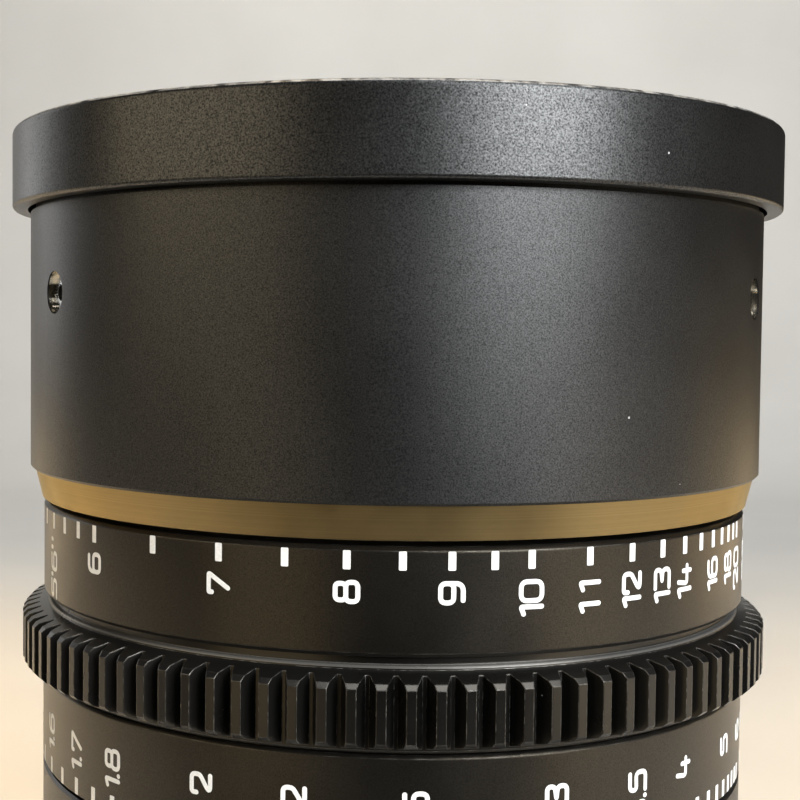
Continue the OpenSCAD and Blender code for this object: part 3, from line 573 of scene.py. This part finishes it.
@dataclass(frozen=True)
class Felt(Finish):
    """Short pile of fibres."""

    dark: Colour = (0.006, 0.006, 0.007)
    light: Colour = (0.03, 0.03, 0.032)
    fibre: float = 0.12 * MM
    depth: float = 0.08 * MM
    rough: float = 0.95
    sheen: float = 0.4

    def draw(self, graph: Graph) -> None:
        """Draw the pile.

        Args:
            graph: Graph of its material.
        """
        pile = graph.noise(graph.place(), self.fibre, 6.0)
        graph.set(
            base_color=graph.ramp(pile, ((0.35, self.dark), (0.7, self.light))),
            roughness=self.rough,
            sheen_weight=self.sheen,
            normal=graph.bump(pile, self.depth),
        )


@dataclass(frozen=True)
class CoatedGlass(Finish):
    """Polished glass with a thin coating that tints its reflections."""

    index: float = 1.6
    coat: float = 1.38
    thin: float = 150.0
    thick: float = 190.0
    drift: float = 40 * MM
    clear: Colour = (0.97, 0.985, 0.99)

    def draw(self, graph: Graph) -> None:
        """Draw the glass and its coating.

        Args:
            graph: Graph of its material.
        """
        drift = graph.noise(graph.place(), self.drift, 1.0)
        graph.set(
            base_color=self.clear,
            roughness=0.0,
            ior=self.index,
            transmission_weight=1.0,
            thin_film_thickness=graph.spread(drift, self.thin, self.thick),
            thin_film_ior=self.coat,
        )


@dataclass(frozen=True)
class Backdrop(Finish):
    """Plain studio sheet."""

    dark: Colour = (0.50, 0.485, 0.455)
    light: Colour = (0.54, 0.525, 0.495)
    cloud: float = 120 * MM
    rough: float = 0.8

    def draw(self, graph: Graph) -> None:
        """Draw the sheet with faint clouding.

        Args:
            graph: Graph of its material.
        """
        cloud = graph.noise(graph.place(), self.cloud, 3.0)
        tone = graph.ramp(cloud, ((0.3, self.dark), (0.7, self.light)))
        graph.set(base_color=tone, roughness=self.rough)


FINISHES: dict[Slot, Finish] = {
    Slot.CAP: Cap("cap_plastic", (0.0035, 0.0035, 0.0035), (0.0055, 0.0055, 0.0055), 0.33, 0.37,
                  0.16 * MM, 0.008 * MM, 0.22, fleck=(0.15, 0.95)),
    Slot.FELT: Felt("felt"),
    Slot.BARREL: Barrel("barrel_black", smooth=0.37, rough=0.41, grain=0.13 * MM, depth=0.005 * MM,
                        dust_share=0.14, fleck=(0.25, 0.8)),
    Slot.RING: Rubbed("ring_black", (0.003, 0.0029, 0.0028), (0.005, 0.0048, 0.0045), 0.30, 0.36,
                      0.12 * MM, 0.003 * MM, 0.0, lines=0.10 * MM, line_depth=0.001 * MM, fleck=(0.35, 0.65),
                      sheen=(1.0, 0.88, 0.70), ease=0.25 * MM, width=0.06 * MM, patch=2.0 * MM),
    Slot.GEAR: Rubbed("gear_black", (0.003, 0.0029, 0.0027), (0.005, 0.0048, 0.0045), 0.26, 0.31,
                      0.10 * MM, 0.002 * MM, 0.16, sheen=(1.0, 0.93, 0.82), ease=0.16 * MM,
                      worn_edge=(65.48 * MM, 65.75 * MM), worn_ease=0.4 * MM, worn_share=0.28),
    Slot.BRONZE: Turned("bronze", (0.25, 0.180, 0.080), (0.31, 0.225, 0.105), 0.30, 0.42,
                        0.10 * MM, 0.0015 * MM, (1.0, 0.93, 0.72)),
    Slot.INNER: Grained("inner_black", (0.004, 0.004, 0.004), (0.008, 0.008, 0.008), 0.55, 0.7),
    Slot.SCREW: Turned("screw_steel", smooth=0.15, rough=0.25),
    Slot.MOUNT: Turned("mount_steel", (0.48, 0.48, 0.47), (0.62, 0.62, 0.61), 0.18, 0.30),
    Slot.ACTUATOR: Turned("actuator_steel", (0.26, 0.26, 0.27), (0.38, 0.38, 0.39), 0.30, 0.42),
    Slot.BLADE: Grained("blade_steel", (0.012, 0.012, 0.013), (0.02, 0.02, 0.021), 0.42, 0.55,
                        0.08 * MM, 0.002 * MM, 0.0),
    Slot.BRASS: Turned("brass", (0.52, 0.36, 0.12), (0.68, 0.50, 0.19), 0.2, 0.32),
    Slot.GLIDE: Painted("glide_plastic"),
    Slot.GLASS: CoatedGlass("coated_glass"),
}
WHITE = Painted("mark_white", (0.78, 0.78, 0.765), (0.90, 0.90, 0.885), 0.5, 0.65, 0.2 * MM, 0.003 * MM)
RED = Painted("mark_red", (0.42, 0.02, 0.015), (0.52, 0.035, 0.025), 0.45, 0.6, 0.2 * MM, 0.003 * MM)


@dataclass
class Stroke:
    """One stroke of a numeral: its corners in parts of the numeral's box, and how round they are."""

    corners: list[Point]
    bend: float = 0.5
    closed: bool = False


GLYPHS: dict[str, list[Stroke]] = {
    "0": [Stroke([(0, 0), (1, 0), (1, 1), (0, 1)], 0.62, True)],
    "1": [Stroke([(0, 0.87), (1, 1), (1, 0)], 0.12)],
    "2": [Stroke([(0, 0.74), (0, 1), (1, 1), (1, 0.55), (0, 0), (1, 0)], 0.55)],
    "3": [Stroke([(0, 1), (1, 1), (1, 0.62), (0.4, 0.53)], 0.45),
          Stroke([(0.4, 0.53), (1, 0.47), (1, 0), (0, 0)], 0.45)],
    "4": [Stroke([(0.12, 1), (0, 0.3), (1, 0.3)], 0.3), Stroke([(0.72, 0.62), (0.72, 0)], 0)],
    "5": [Stroke([(0.95, 1), (0.08, 1), (0.02, 0.58), (1, 0.62), (1, 0), (0, 0)], 0.5)],
    "6": [Stroke([(0, 0), (1, 0), (1, 0.58), (0, 0.58)], 0.5, True),
          Stroke([(0, 0.3), (0, 1), (0.88, 1)], 0.9)],
    "7": [Stroke([(0, 0.84), (0, 1), (1, 1), (0.28, 0)], 0.1)],
    "8": [Stroke([(0, 0), (1, 0), (1, 0.53), (0, 0.53)], 0.45, True),
          Stroke([(0.07, 0.53), (0.93, 0.53), (0.93, 1), (0.07, 1)], 0.4, True)],
    "9": [Stroke([(0, 0.42), (1, 0.42), (1, 1), (0, 1)], 0.5, True),
          Stroke([(1, 0.7), (1, 0), (0.12, 0)], 0.9)],
    ".": [Stroke([(0, 0), (0, 0.02)], 0)],
    "'": [Stroke([(0, 1), (0, 0.76)], 0)],
    '"': [Stroke([(0, 1), (0, 0.76)], 0), Stroke([(1, 1), (1, 0.76)], 0)],
}
NARROW: dict[str, float] = {"1": 0.5, ".": 0.233, "'": 0.233, '"': 0.6}


@dataclass
class Numerals:
    """A stroke font for numbers on a dial, with sizes in millimetres."""

    height: float = 2.4
    width: float = 2.1
    stroke: float = 0.43
    gap: float = 0.10
    ones_gap: float = 0.85
    ones_end: float = 0.4
    step: float = 0.22
    arc_steps: int = 7
    reach: float = 0.499

    def breadth(self, sign: str) -> float:
        """Find the breadth of one sign.

        Args:
            sign: A sign of the font.

        Returns:
            Its breadth.
        """
        return self.width * NARROW.get(sign, 1.0)

    def lay(self, text: str) -> tuple[list[tuple[list[Point], bool]], float]:
        """Lay a number out from left to right.

        Args:
            text: The number.

        Returns:
            Its strokes, each a line and whether it is closed, and the whole breadth.
        """
        strokes: list[tuple[list[Point], bool]] = []
        left = 0.0
        for i, sign in enumerate(text):
            if i:
                left += self.ones_gap if sign == "1" == text[i - 1] else self.gap
            wide = self.breadth(sign)
            for stroke in GLYPHS[sign]:
                line = [(left + self.stroke / 2 + x * (wide - self.stroke),
                         self.stroke / 2 + y * (self.height - self.stroke)) for x, y in stroke.corners]
                strokes.append((self.bent(line, stroke.bend, stroke.closed), stroke.closed))
            left += wide
        return strokes, left + (self.ones_end if text.endswith("1") else 0.0)

    def bent(self, line: list[Point], bend: float, closed: bool) -> list[Point]:
        """Round the corners of a line and split it into short steps.

        Args:
            line: Corners.
            bend: Radius of the rounding.
            closed: Whether the last corner joins the first.

        Returns:
            The rounded line.
        """
        count = len(line)
        result: list[Point] = []
        for i, corner in enumerate(line):
            if not closed and i in (0, count - 1):
                result.append(corner)
                continue
            here = Vector(corner)
            back, ahead = Vector(line[i - 1]) - here, Vector(line[(i + 1) % count]) - here
            half = back.angle(ahead) / 2
            reach = min(bend / math.tan(half), self.reach * back.length, self.reach * ahead.length)
            start, end = here + back.normalized() * reach, here + ahead.normalized() * reach
            for k in range(self.arc_steps + 1):
                t = k / self.arc_steps
                result.append(tuple((1 - t) ** 2 * start + 2 * t * (1 - t) * here + t * t * end))
        return self.split(result + result[:1] if closed else result)[: -1 if closed else None]

    def split(self, line: list[Point]) -> list[Point]:
        """Split long steps of a line.

        Args:
            line: Points of the line.

        Returns:
            Points no further apart than the font's step.
        """
        result = [line[0]]
        for a, b in zip(line, line[1:]):
            parts = max(1, math.ceil(math.dist(a, b) / self.step))
            if math.dist(a, b) > TINY:
                result += [(a[0] + (b[0] - a[0]) * k / parts, a[1] + (b[1] - a[1]) * k / parts)
                           for k in range(1, parts + 1)]
        return result


@dataclass
class Inlay:
    """Paint filled into a ring: thin strips that follow the ring's curve, with sizes in millimetres."""

    radius: float
    proud: float = 0.012
    sunk: float = 0.05
    layer: float = 0.002
    corners: list[Vector] = field(default_factory=list)
    faces: list[tuple[int, ...]] = field(default_factory=list)

    def spot(self, turn: float, height: float, across: float, up: float, lift: float) -> Vector:
        """Bend one point onto the ring.

        Args:
            turn: Angle of the mark from the photo's side, in degrees.
            height: Height of the mark.
            across: Way along the ring.
            up: Way up the ring.
            lift: Way outwards.

        Returns:
            The point, in metres.
        """
        angle = math.radians(turn - 90) + across / self.radius
        reach = self.radius + lift
        return Vector((reach * math.cos(angle), reach * math.sin(angle), height + up)) * MM

    def strip(self, sides: list[tuple[Point, Point]], closed: bool, turn: float, height: float,
              under: int = 0) -> None:
        """Add a strip.

        Args:
            sides: Left and right points along the strip.
            closed: Whether its end joins its start.
            turn: Angle of the mark.
            height: Height of the mark.
            under: Number of strips that lie over it where they cross.
        """
        first = len(self.corners)
        for left, right in sides:
            for lift in (self.proud - under * self.layer, -self.sunk):
                self.corners += [self.spot(turn, height, *left, lift), self.spot(turn, height, *right, lift)]
        count = len(sides)
        for i in range(count if closed else count - 1):
            a, b = first + 4 * i, first + 4 * ((i + 1) % count)
            self.faces += [(a, b, b + 1, a + 1), (a + 2, a + 3, b + 3, b + 2),
                           (a, a + 2, b + 2, b), (a + 1, b + 1, b + 3, a + 3)]
        if not closed:
            last = first + 4 * (count - 1)
            self.faces += [(first, first + 1, first + 3, first + 2), (last, last + 2, last + 3, last + 1)]

    def ribbon(self, line: list[Point], width: float, closed: bool, turn: float, height: float,
               under: int = 0) -> None:
        """Add a line of even width with round ends.

        Args:
            line: Points along its middle.
            width: Width.
            closed: Whether it is a loop.
            turn: Angle of the mark.
            height: Height of the mark.
            under: Number of lines that lie over it where they cross.
        """
        points = [Vector(p) for p in line]
        count = len(points)
        sides: list[tuple[Point, Point]] = []
        for i, point in enumerate(points):
            before = points[i - 1] if closed or i else point
            after = points[(i + 1) % count] if closed or i < count - 1 else point
            along = (after - before).normalized()
            normal = Vector((-along.y, along.x)) * width / 2
            steps = (0.0,)
            if not closed and i == 0:
                steps = tuple(-step for step in reversed(ROUND_END))
            elif not closed and i == count - 1:
                steps = ROUND_END
            for step in steps:
                middle = point + along * step * width / 2
                side = normal * math.sqrt(1 - step * step)
                sides.append((tuple(middle + side), tuple(middle - side)))
        self.strip(sides, closed, turn, height, under)

    def bar(self, width: float, length: float, turn: float, top: float, ease: float = 0.1) -> None:
        """Add an upright tick.

        Args:
            width: Width.
            length: Length.
            turn: Angle of its middle.
            top: Height of its upper end.
            ease: Rounding of its corners.
        """
        ends = [(ease * (1 - math.cos(a)), ease * (1 - math.sin(a)))
                for a in (0.0, math.pi / 6, math.pi / 3, math.pi / 2)]
        rows = ([(-down, width / 2 - narrow) for down, narrow in ends]
                + [(down - length, width / 2 - narrow) for down, narrow in reversed(ends)])
        self.strip([((-half, up), (half, up)) for up, half in rows], False, turn, top)

    def upward(self, font: Numerals, text: str, turn: float, end: float) -> None:
        """Add a number that reads upwards.

        Args:
            font: The font.
            text: The number.
            turn: Angle of its middle.
            end: Height where the number ends.
        """
        strokes, breadth = font.lay(text)
        for i, (line, closed) in enumerate(strokes):
            middle = [(font.height / 2 - y, x - breadth) for x, y in line]
            self.ribbon(middle, font.stroke, closed, turn, end, i)

    def level(self, font: Numerals, text: str, turn: float, foot: float) -> None:
        """Add a number that reads round the ring.

        Args:
            font: The font.
            text: The number.
            turn: Angle of its middle.
            foot: Height of its foot.
        """
        strokes, breadth = font.lay(text)
        for i, (line, closed) in enumerate(strokes):
            middle = [(x - breadth / 2, y) for x, y in line]
            self.ribbon(middle, font.stroke, closed, turn, foot, i)

    def piece(self, name: str, finish: bpy.types.Material, body: Body, slot: Slot) -> bpy.types.Object:
        """Make the marks one piece on a moving group.

        Args:
            name: Name of the piece.
            finish: Paint.
            body: Group that carries it.
            slot: Material slot of the ring that it fills; not used.

        Returns:
            The piece.
        """
        mesh = bpy.data.meshes.new(name)
        mesh.from_pydata(self.corners, [], self.faces)
        mesh.validate()
        mesh.materials.append(finish)
        made = bpy.data.objects.new(name, mesh)
        bpy.context.scene.collection.objects.link(made)
        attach(made, body.value)
        log.info("%s: %d faces", name, len(self.faces))
        return made


def ring_of(node: str) -> tuple[float, float, float]:
    """Measure a ring of the CAD.

    Args:
        node: Name of the ring.

    Returns:
        Its outer radius, lower height and upper height, in millimetres.
    """
    low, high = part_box(node)
    return high.x / MM, low.z / MM, high.z / MM


@dataclass
class FocusScales:
    """Distances on the focus ring: feet above the gear and metres below it."""

    near: float = 0.47
    feet_law: Point = (109.9, 868.0)
    metre_law: Point = (112.6, 841.0)
    feet_per_metre: float = 3.2808
    tick_width: float = 0.68
    tick_length: float = 1.65
    feet_inset: float = 0.38
    metre_inset: float = 0.25
    feet_end: float = 2.93
    metre_end: float = 3.05
    closest: float = 3.3
    font: Numerals = field(default_factory=Numerals)

    def turn(self, law: Point, feet: float) -> float:
        """Find where a distance lies on the ring.

        Args:
            law: Angle at infinity, and the turn for a distance.
            feet: The distance.

        Returns:
            Its angle from the photo's side, in degrees.
        """
        return law[0] - law[1] / (feet - self.near)

    def feet_marks(self) -> tuple[list[float], list[tuple[str, float]]]:
        """Returns: The distances that have a tick, and the numbers with their distances."""
        ticks = [feet + inches / INCHES for feet in (3, 4, 5) for inches in range(0, INCHES, 2)
                 if feet + inches / INCHES > self.closest]
        ticks += [k / 2 for k in range(12, 20)] + list(range(10, 21)) + [25, 30, 40, 60]
        numbers = [(str(k), k) for k in (4, 5, *range(6, 15), 16, 18, 20, 25, 30, 40, 60)]
        numbers += [("3'6\"", 3.5), ("4'6\"", 4.5), ("5'6\"", 5.5)]
        return ticks, numbers

    def metre_marks(self) -> tuple[list[float], list[tuple[str, float]]]:
        """Returns: The distances in feet that have a tick, and the numbers with their distances in feet."""
        ticks = [k / 20 for k in range(21, 40)] + [k / 10 for k in range(20, 30)]
        ticks += [k / 4 for k in range(12, 24)] + [6, 7, 8, 10, 15, 20]
        numbers = ["1.1", "1.2", "1.3", "1.4", "1.5", "1.6", "1.7", "1.8", "2", "2.2", "2.5", "3", "3.5", "4",
                   "5", "6", "7", "8", "10", "15", "20"]
        return ([m * self.feet_per_metre for m in ticks],
                [(text, float(text) * self.feet_per_metre) for text in numbers])

    def build(self, paint: bpy.types.Material) -> None:
        """Add both scales.

        Args:
            paint: Paint of the marks.
        """
        radius, _, high = ring_of("feet_scale_ring")
        feet = Inlay(radius)
        ticks, numbers = self.feet_marks()
        for distance in ticks:
            feet.bar(self.tick_width, self.tick_length, self.turn(self.feet_law, distance),
                     high - self.feet_inset)
        for text, distance in numbers:
            feet.upward(self.font, text, self.turn(self.feet_law, distance), high - self.feet_end)
        feet.piece("feet_marks", paint, Body.FOCUS, Slot.RING)

        radius, low, high = ring_of("metre_scale_ring")
        metres = Inlay(radius)
        ticks, numbers = self.metre_marks()
        for distance in ticks:
            metres.bar(self.tick_width, self.tick_length, self.turn(self.metre_law, distance),
                       low + self.metre_inset + self.tick_length)
        for text, distance in numbers:
            metres.upward(self.font, text, self.turn(self.metre_law, distance), high - self.metre_end)
        metres.piece("metre_marks", paint, Body.FOCUS, Slot.RING)


@dataclass
class IrisScale:
    """Stop numbers on the iris ring, one step of the ring's turn apart."""

    stops: tuple[str, ...] = ("2", "2.8", "4", "5.6", "8", "11", "16", "22")
    first_turn: float = 90.0
    step: float = 7.6
    tick_width: float = 0.45
    tick_length: float = 1.3
    inset: float = 0.5
    gap: float = 0.6
    font: Numerals = field(default_factory=lambda: Numerals(2.0, 1.45, 0.32, 0.22, 0.35, 0.0))

    def build(self, paint: bpy.types.Material) -> None:
        """Add the numbers and their ticks.

        Args:
            paint: Paint of the marks.
        """
        radius, _, high = ring_of("iris_ring")
        top = high - self.inset
        marks = Inlay(radius)
        for k, text in enumerate(self.stops):
            turn = self.first_turn - k * self.step
            marks.bar(self.tick_width, self.tick_length, turn, top)
            marks.level(self.font, text, turn, top - self.tick_length - self.gap - self.font.height)
        marks.piece("iris_marks", paint, Body.IRIS, Slot.RING)


@dataclass
class IndexLines:
    """Lines on the standing parts that the scales are read against."""

    turns: tuple[float, float] = (-90.0, 90.0)
    width: float = 0.5
    length: float = 3.2
    inset: float = 0.5
    dot: float = 1.6
    dot_turn: float = 90.0
    dot_drop: float = 2.4
    dot_line: tuple[Point, Point] = ((0.0, 0.0), (0.0, 0.02))

    def build(self, paint: bpy.types.Material, red: bpy.types.Material) -> None:
        """Add the lines and the dot that shows how the lens goes into its mount.

        Args:
            paint: Paint of the lines.
            red: Paint of the dot.
        """
        radius, low, high = ring_of("index_barrel")
        lines = Inlay(radius)
        for turn in self.turns:
            lines.bar(self.width, self.length, turn, high - self.inset)
            lines.bar(self.width, self.length, turn, low + self.inset + self.length)
        lines.piece("index_lines", paint, Body.LENS, Slot.RING)
        radius, _, high = ring_of("rear_barrel")
        mark = Inlay(radius)
        mark.ribbon(list(self.dot_line), self.dot, False, self.dot_turn, high - self.dot_drop)
        mark.piece("mount_dot", red, Body.LENS, Slot.BARREL)


@dataclass
class Lens:
    """The whole lens: a finish on each CAD piece, then the scales."""

    def dress(self) -> None:
        """Give each CAD piece the finish of its slot."""
        made = {slot.value: finish.material() for slot, finish in FINISHES.items()}
        slots = {part["node"]: part["material_slot"] for part in frame["record"]["subparts"]}
        for name, piece in frame["nodes"].items():
            piece.data.materials.clear()
            piece.data.materials.append(made[slots[name]])
            log.info("%s: %s", name, slots[name])

    def build(self) -> None:
        """Add the painted marks."""
        white, red = WHITE.material(), RED.material()
        FocusScales().build(white)
        IrisScale().build(white)
        IndexLines().build(white, red)


@dataclass(frozen=True)
class Lamp:
    """A soft panel of light, with places and sizes in metres and the angle of its beam in degrees."""

    name: str
    place: tuple[float, float, float]
    aim: tuple[float, float, float]
    width: float
    height: float
    power: float
    tint: Colour = (1.0, 1.0, 1.0)
    spread: float = 180.0

    @classmethod
    def around(cls, name: str, turn: float, rise: float, power: float, tint: Colour = (1.0, 1.0, 1.0),
               distance: float = 0.9, width: float = 0.4, height: float = 0.5) -> "Lamp":
        """Hang a lamp on a sphere round the lens.

        Args:
            name: Name of the lamp.
            turn: Angle from the camera's side, to the right, in degrees.
            rise: Angle above the lens, in degrees.
            power: Power in watts.
            tint: Colour of the light.
            distance: Distance from the lens.
            width: Width of the panel.
            height: Height of the panel.

        Returns:
            The lamp.
        """
        aim = Vector(LENS_MIDDLE)
        a, b = math.radians(turn), math.radians(rise)
        way = Vector((math.sin(a) * math.cos(b), -math.cos(a) * math.cos(b), math.sin(b)))
        return cls(name, tuple(aim + way * distance), tuple(aim), width, height, power, tint)

    def build(self) -> None:
        """Hang the lamp."""
        data = bpy.data.lights.new(self.name, "AREA")
        data.shape = "RECTANGLE"
        data.size, data.size_y = self.width, self.height
        data.energy = self.power
        data.color = self.tint
        data.spread = math.radians(self.spread)
        lamp = bpy.data.objects.new(self.name, data)
        bpy.context.scene.collection.objects.link(lamp)
        lamp.location = self.place
        way = Vector(self.aim) - Vector(self.place)
        lamp.rotation_euler = way.to_track_quat("-Z", "Y").to_euler()


@dataclass
class Studio:
    """A sheet that is floor and backdrop, the lamps and the surrounding light, sizes in metres."""

    left: float = -1.6
    right: float = 0.9
    wall_right: float = 0.42
    front: float = -0.13
    back: float = 1.1
    sweep: float = 0.35
    top: float = 1.4
    sweep_steps: int = 16
    sky: Colour = (0.62, 0.605, 0.565)
    fill: float = 0.012
    fill_tint: Colour = (1.0, 0.98, 0.95)
    lamps: tuple[Lamp, ...] = (
        Lamp.around("key", 40.0, 18.0, 11.4, (0.95, 0.98, 1.0), width=0.55, height=0.3),
        Lamp.around("warm", -56.0, 14.0, 2.4, (1.0, 0.84, 0.58), width=0.9, height=0.36),
        Lamp.around("window", -124.0, 12.0, 0.7, width=0.3, height=0.4),
        Lamp.around("upper", 34.0, 42.0, 3.5, (0.95, 0.98, 1.0), width=0.6, height=0.35),
        Lamp("top", (0.22, -0.2, 0.95), (0.22, 0.0, 0.07), 0.8, 0.25, 5.4, (0.96, 0.98, 1.0)),
        Lamp("above", (0.0, 0.2, 1.0), (0.0, 0.2, 0.0), 0.9, 0.4, 1.0),
        Lamp("wall", (0.1, 0.4, 1.1), (0.0, 1.1, 0.5), 0.8, 0.3, 4.4, spread=120.0),
        Lamp("left_pool", (-0.27, 0.14, 1.1), (-0.27, 0.14, 0.0), 0.2, 0.2, 0.85, (1.0, 0.70, 0.34), 36.0),
        Lamp("right_pool", (0.27, 0.14, 1.1), (0.27, 0.14, 0.0), 0.2, 0.2, 0.55, (1.0, 0.70, 0.34), 36.0),
        Lamp("left_low", (-0.45, 0.35, 0.012), (0.0, 0.0, 0.012), 0.3, 0.06, 0.08, (1.0, 0.72, 0.38)),
        Lamp("right_low", (0.5, 0.25, 0.012), (0.0, 0.0, 0.012), 0.5, 0.06, 0.20, (1.0, 0.72, 0.38)),
        Lamp("left_front", (-0.29, -0.41, -0.03), (0.0, 0.0, 0.06), 0.3, 0.14, 0.16, (1.0, 0.80, 0.50)),
        Lamp("right_front", (0.44, -0.24, -0.03), (0.0, 0.0, 0.06), 0.3, 0.14, 0.28, (1.0, 0.86, 0.66)),
    )

    def sheet(self) -> bpy.types.Object:
        """Make the floor and backdrop in one sweep.

        Returns:
            The sheet.
        """
        ground = CAD_BOX[0][2]
        line = [(self.front, ground, self.right)]
        for k in range(self.sweep_steps + 1):
            a = math.pi / 2 * k / self.sweep_steps
            line.append((self.back - self.sweep * (1 - math.sin(a)), ground + self.sweep * (1 - math.cos(a)),
                         self.wall_right if k else self.right))
        line.append((self.back, self.top, self.wall_right))
        corners = [(x, y, z) for y, z, right in line for x in (self.left, right)]
        faces = [(2 * i, 2 * i + 1, 2 * i + 3, 2 * i + 2) for i in range(len(line) - 1)]
        mesh = bpy.data.meshes.new("sheet")
        mesh.from_pydata(corners, [], faces)
        mesh.shade_smooth()
        mesh.materials.append(Backdrop("studio_sheet").material())
        made = bpy.data.objects.new("sheet", mesh)
        bpy.context.scene.collection.objects.link(made)
        return made

    def build(self) -> None:
        """Set the studio up round the lens."""
        self.sheet()
        world = bpy.data.worlds.new("studio")
        bpy.context.scene.world = world
        world.use_nodes = True
        tree = world.node_tree
        seen = tree.nodes.new("ShaderNodeLightPath")
        sheet = tree.nodes["Background"]
        light = tree.nodes.new("ShaderNodeBackground")
        mix = tree.nodes.new("ShaderNodeMixShader")
        light.inputs["Color"].default_value = (*self.fill_tint, 1.0)
        light.inputs["Strength"].default_value = self.fill
        sheet.inputs["Color"].default_value = (*self.sky, 1.0)
        sheet.inputs["Strength"].default_value = 1.0
        tree.links.new(seen.outputs["Is Camera Ray"], mix.inputs[0])
        tree.links.new(light.outputs[0], mix.inputs[1])
        tree.links.new(sheet.outputs[0], mix.inputs[2])
        tree.links.new(mix.outputs[0], tree.nodes["World Output"].inputs["Surface"])
        for lamp in self.lamps:
            lamp.build()


@dataclass
class Camera:
    """The photo's camera: place in millimetres, angles in degrees, focal length and centre in pixels."""

    distance: float = 154.5
    height: float = 94.6
    left: float = 2.876
    down: float = 2.325
    roll: float = -0.514
    focal: float = 1358.97
    centre: Point = (322.44, 385.64)
    photo: float = 800.0
    sensor: float = 36.0
    clip: float = 10.0

    def build(self) -> None:
        """Set the camera up."""
        data = bpy.data.cameras.new("photo_camera")
        data.sensor_width = self.sensor
        data.lens = self.sensor * self.focal / self.photo
        data.shift_x = (self.photo / 2 - self.centre[0]) / self.photo
        data.shift_y = (self.centre[1] - self.photo / 2) / self.photo
        data.clip_start = self.clip * MM
        camera = bpy.data.objects.new("photo_camera", data)
        bpy.context.scene.collection.objects.link(camera)
        turn = (Matrix.Rotation(math.radians(self.left), 4, "Z")
                @ Matrix.Rotation(math.radians(90 - self.down), 4, "X")
                @ Matrix.Rotation(math.radians(-self.roll), 4, "Z"))
        camera.matrix_world = Matrix.Translation(Vector((0, -self.distance, self.height)) * MM) @ turn
        bpy.context.scene.camera = camera
        bpy.context.scene.view_settings.view_transform = "Standard"


def main() -> None:
    """Dress the lens, then light it and look at it from the photo's side."""
    logging.basicConfig(level=logging.INFO)
    lens = Lens()
    steps: tuple[Callable[[], None], ...] = (lens.dress, lens.build, Studio().build, Camera().build)
    for step in steps:
        step()


if __name__ == "__main__":
    main()
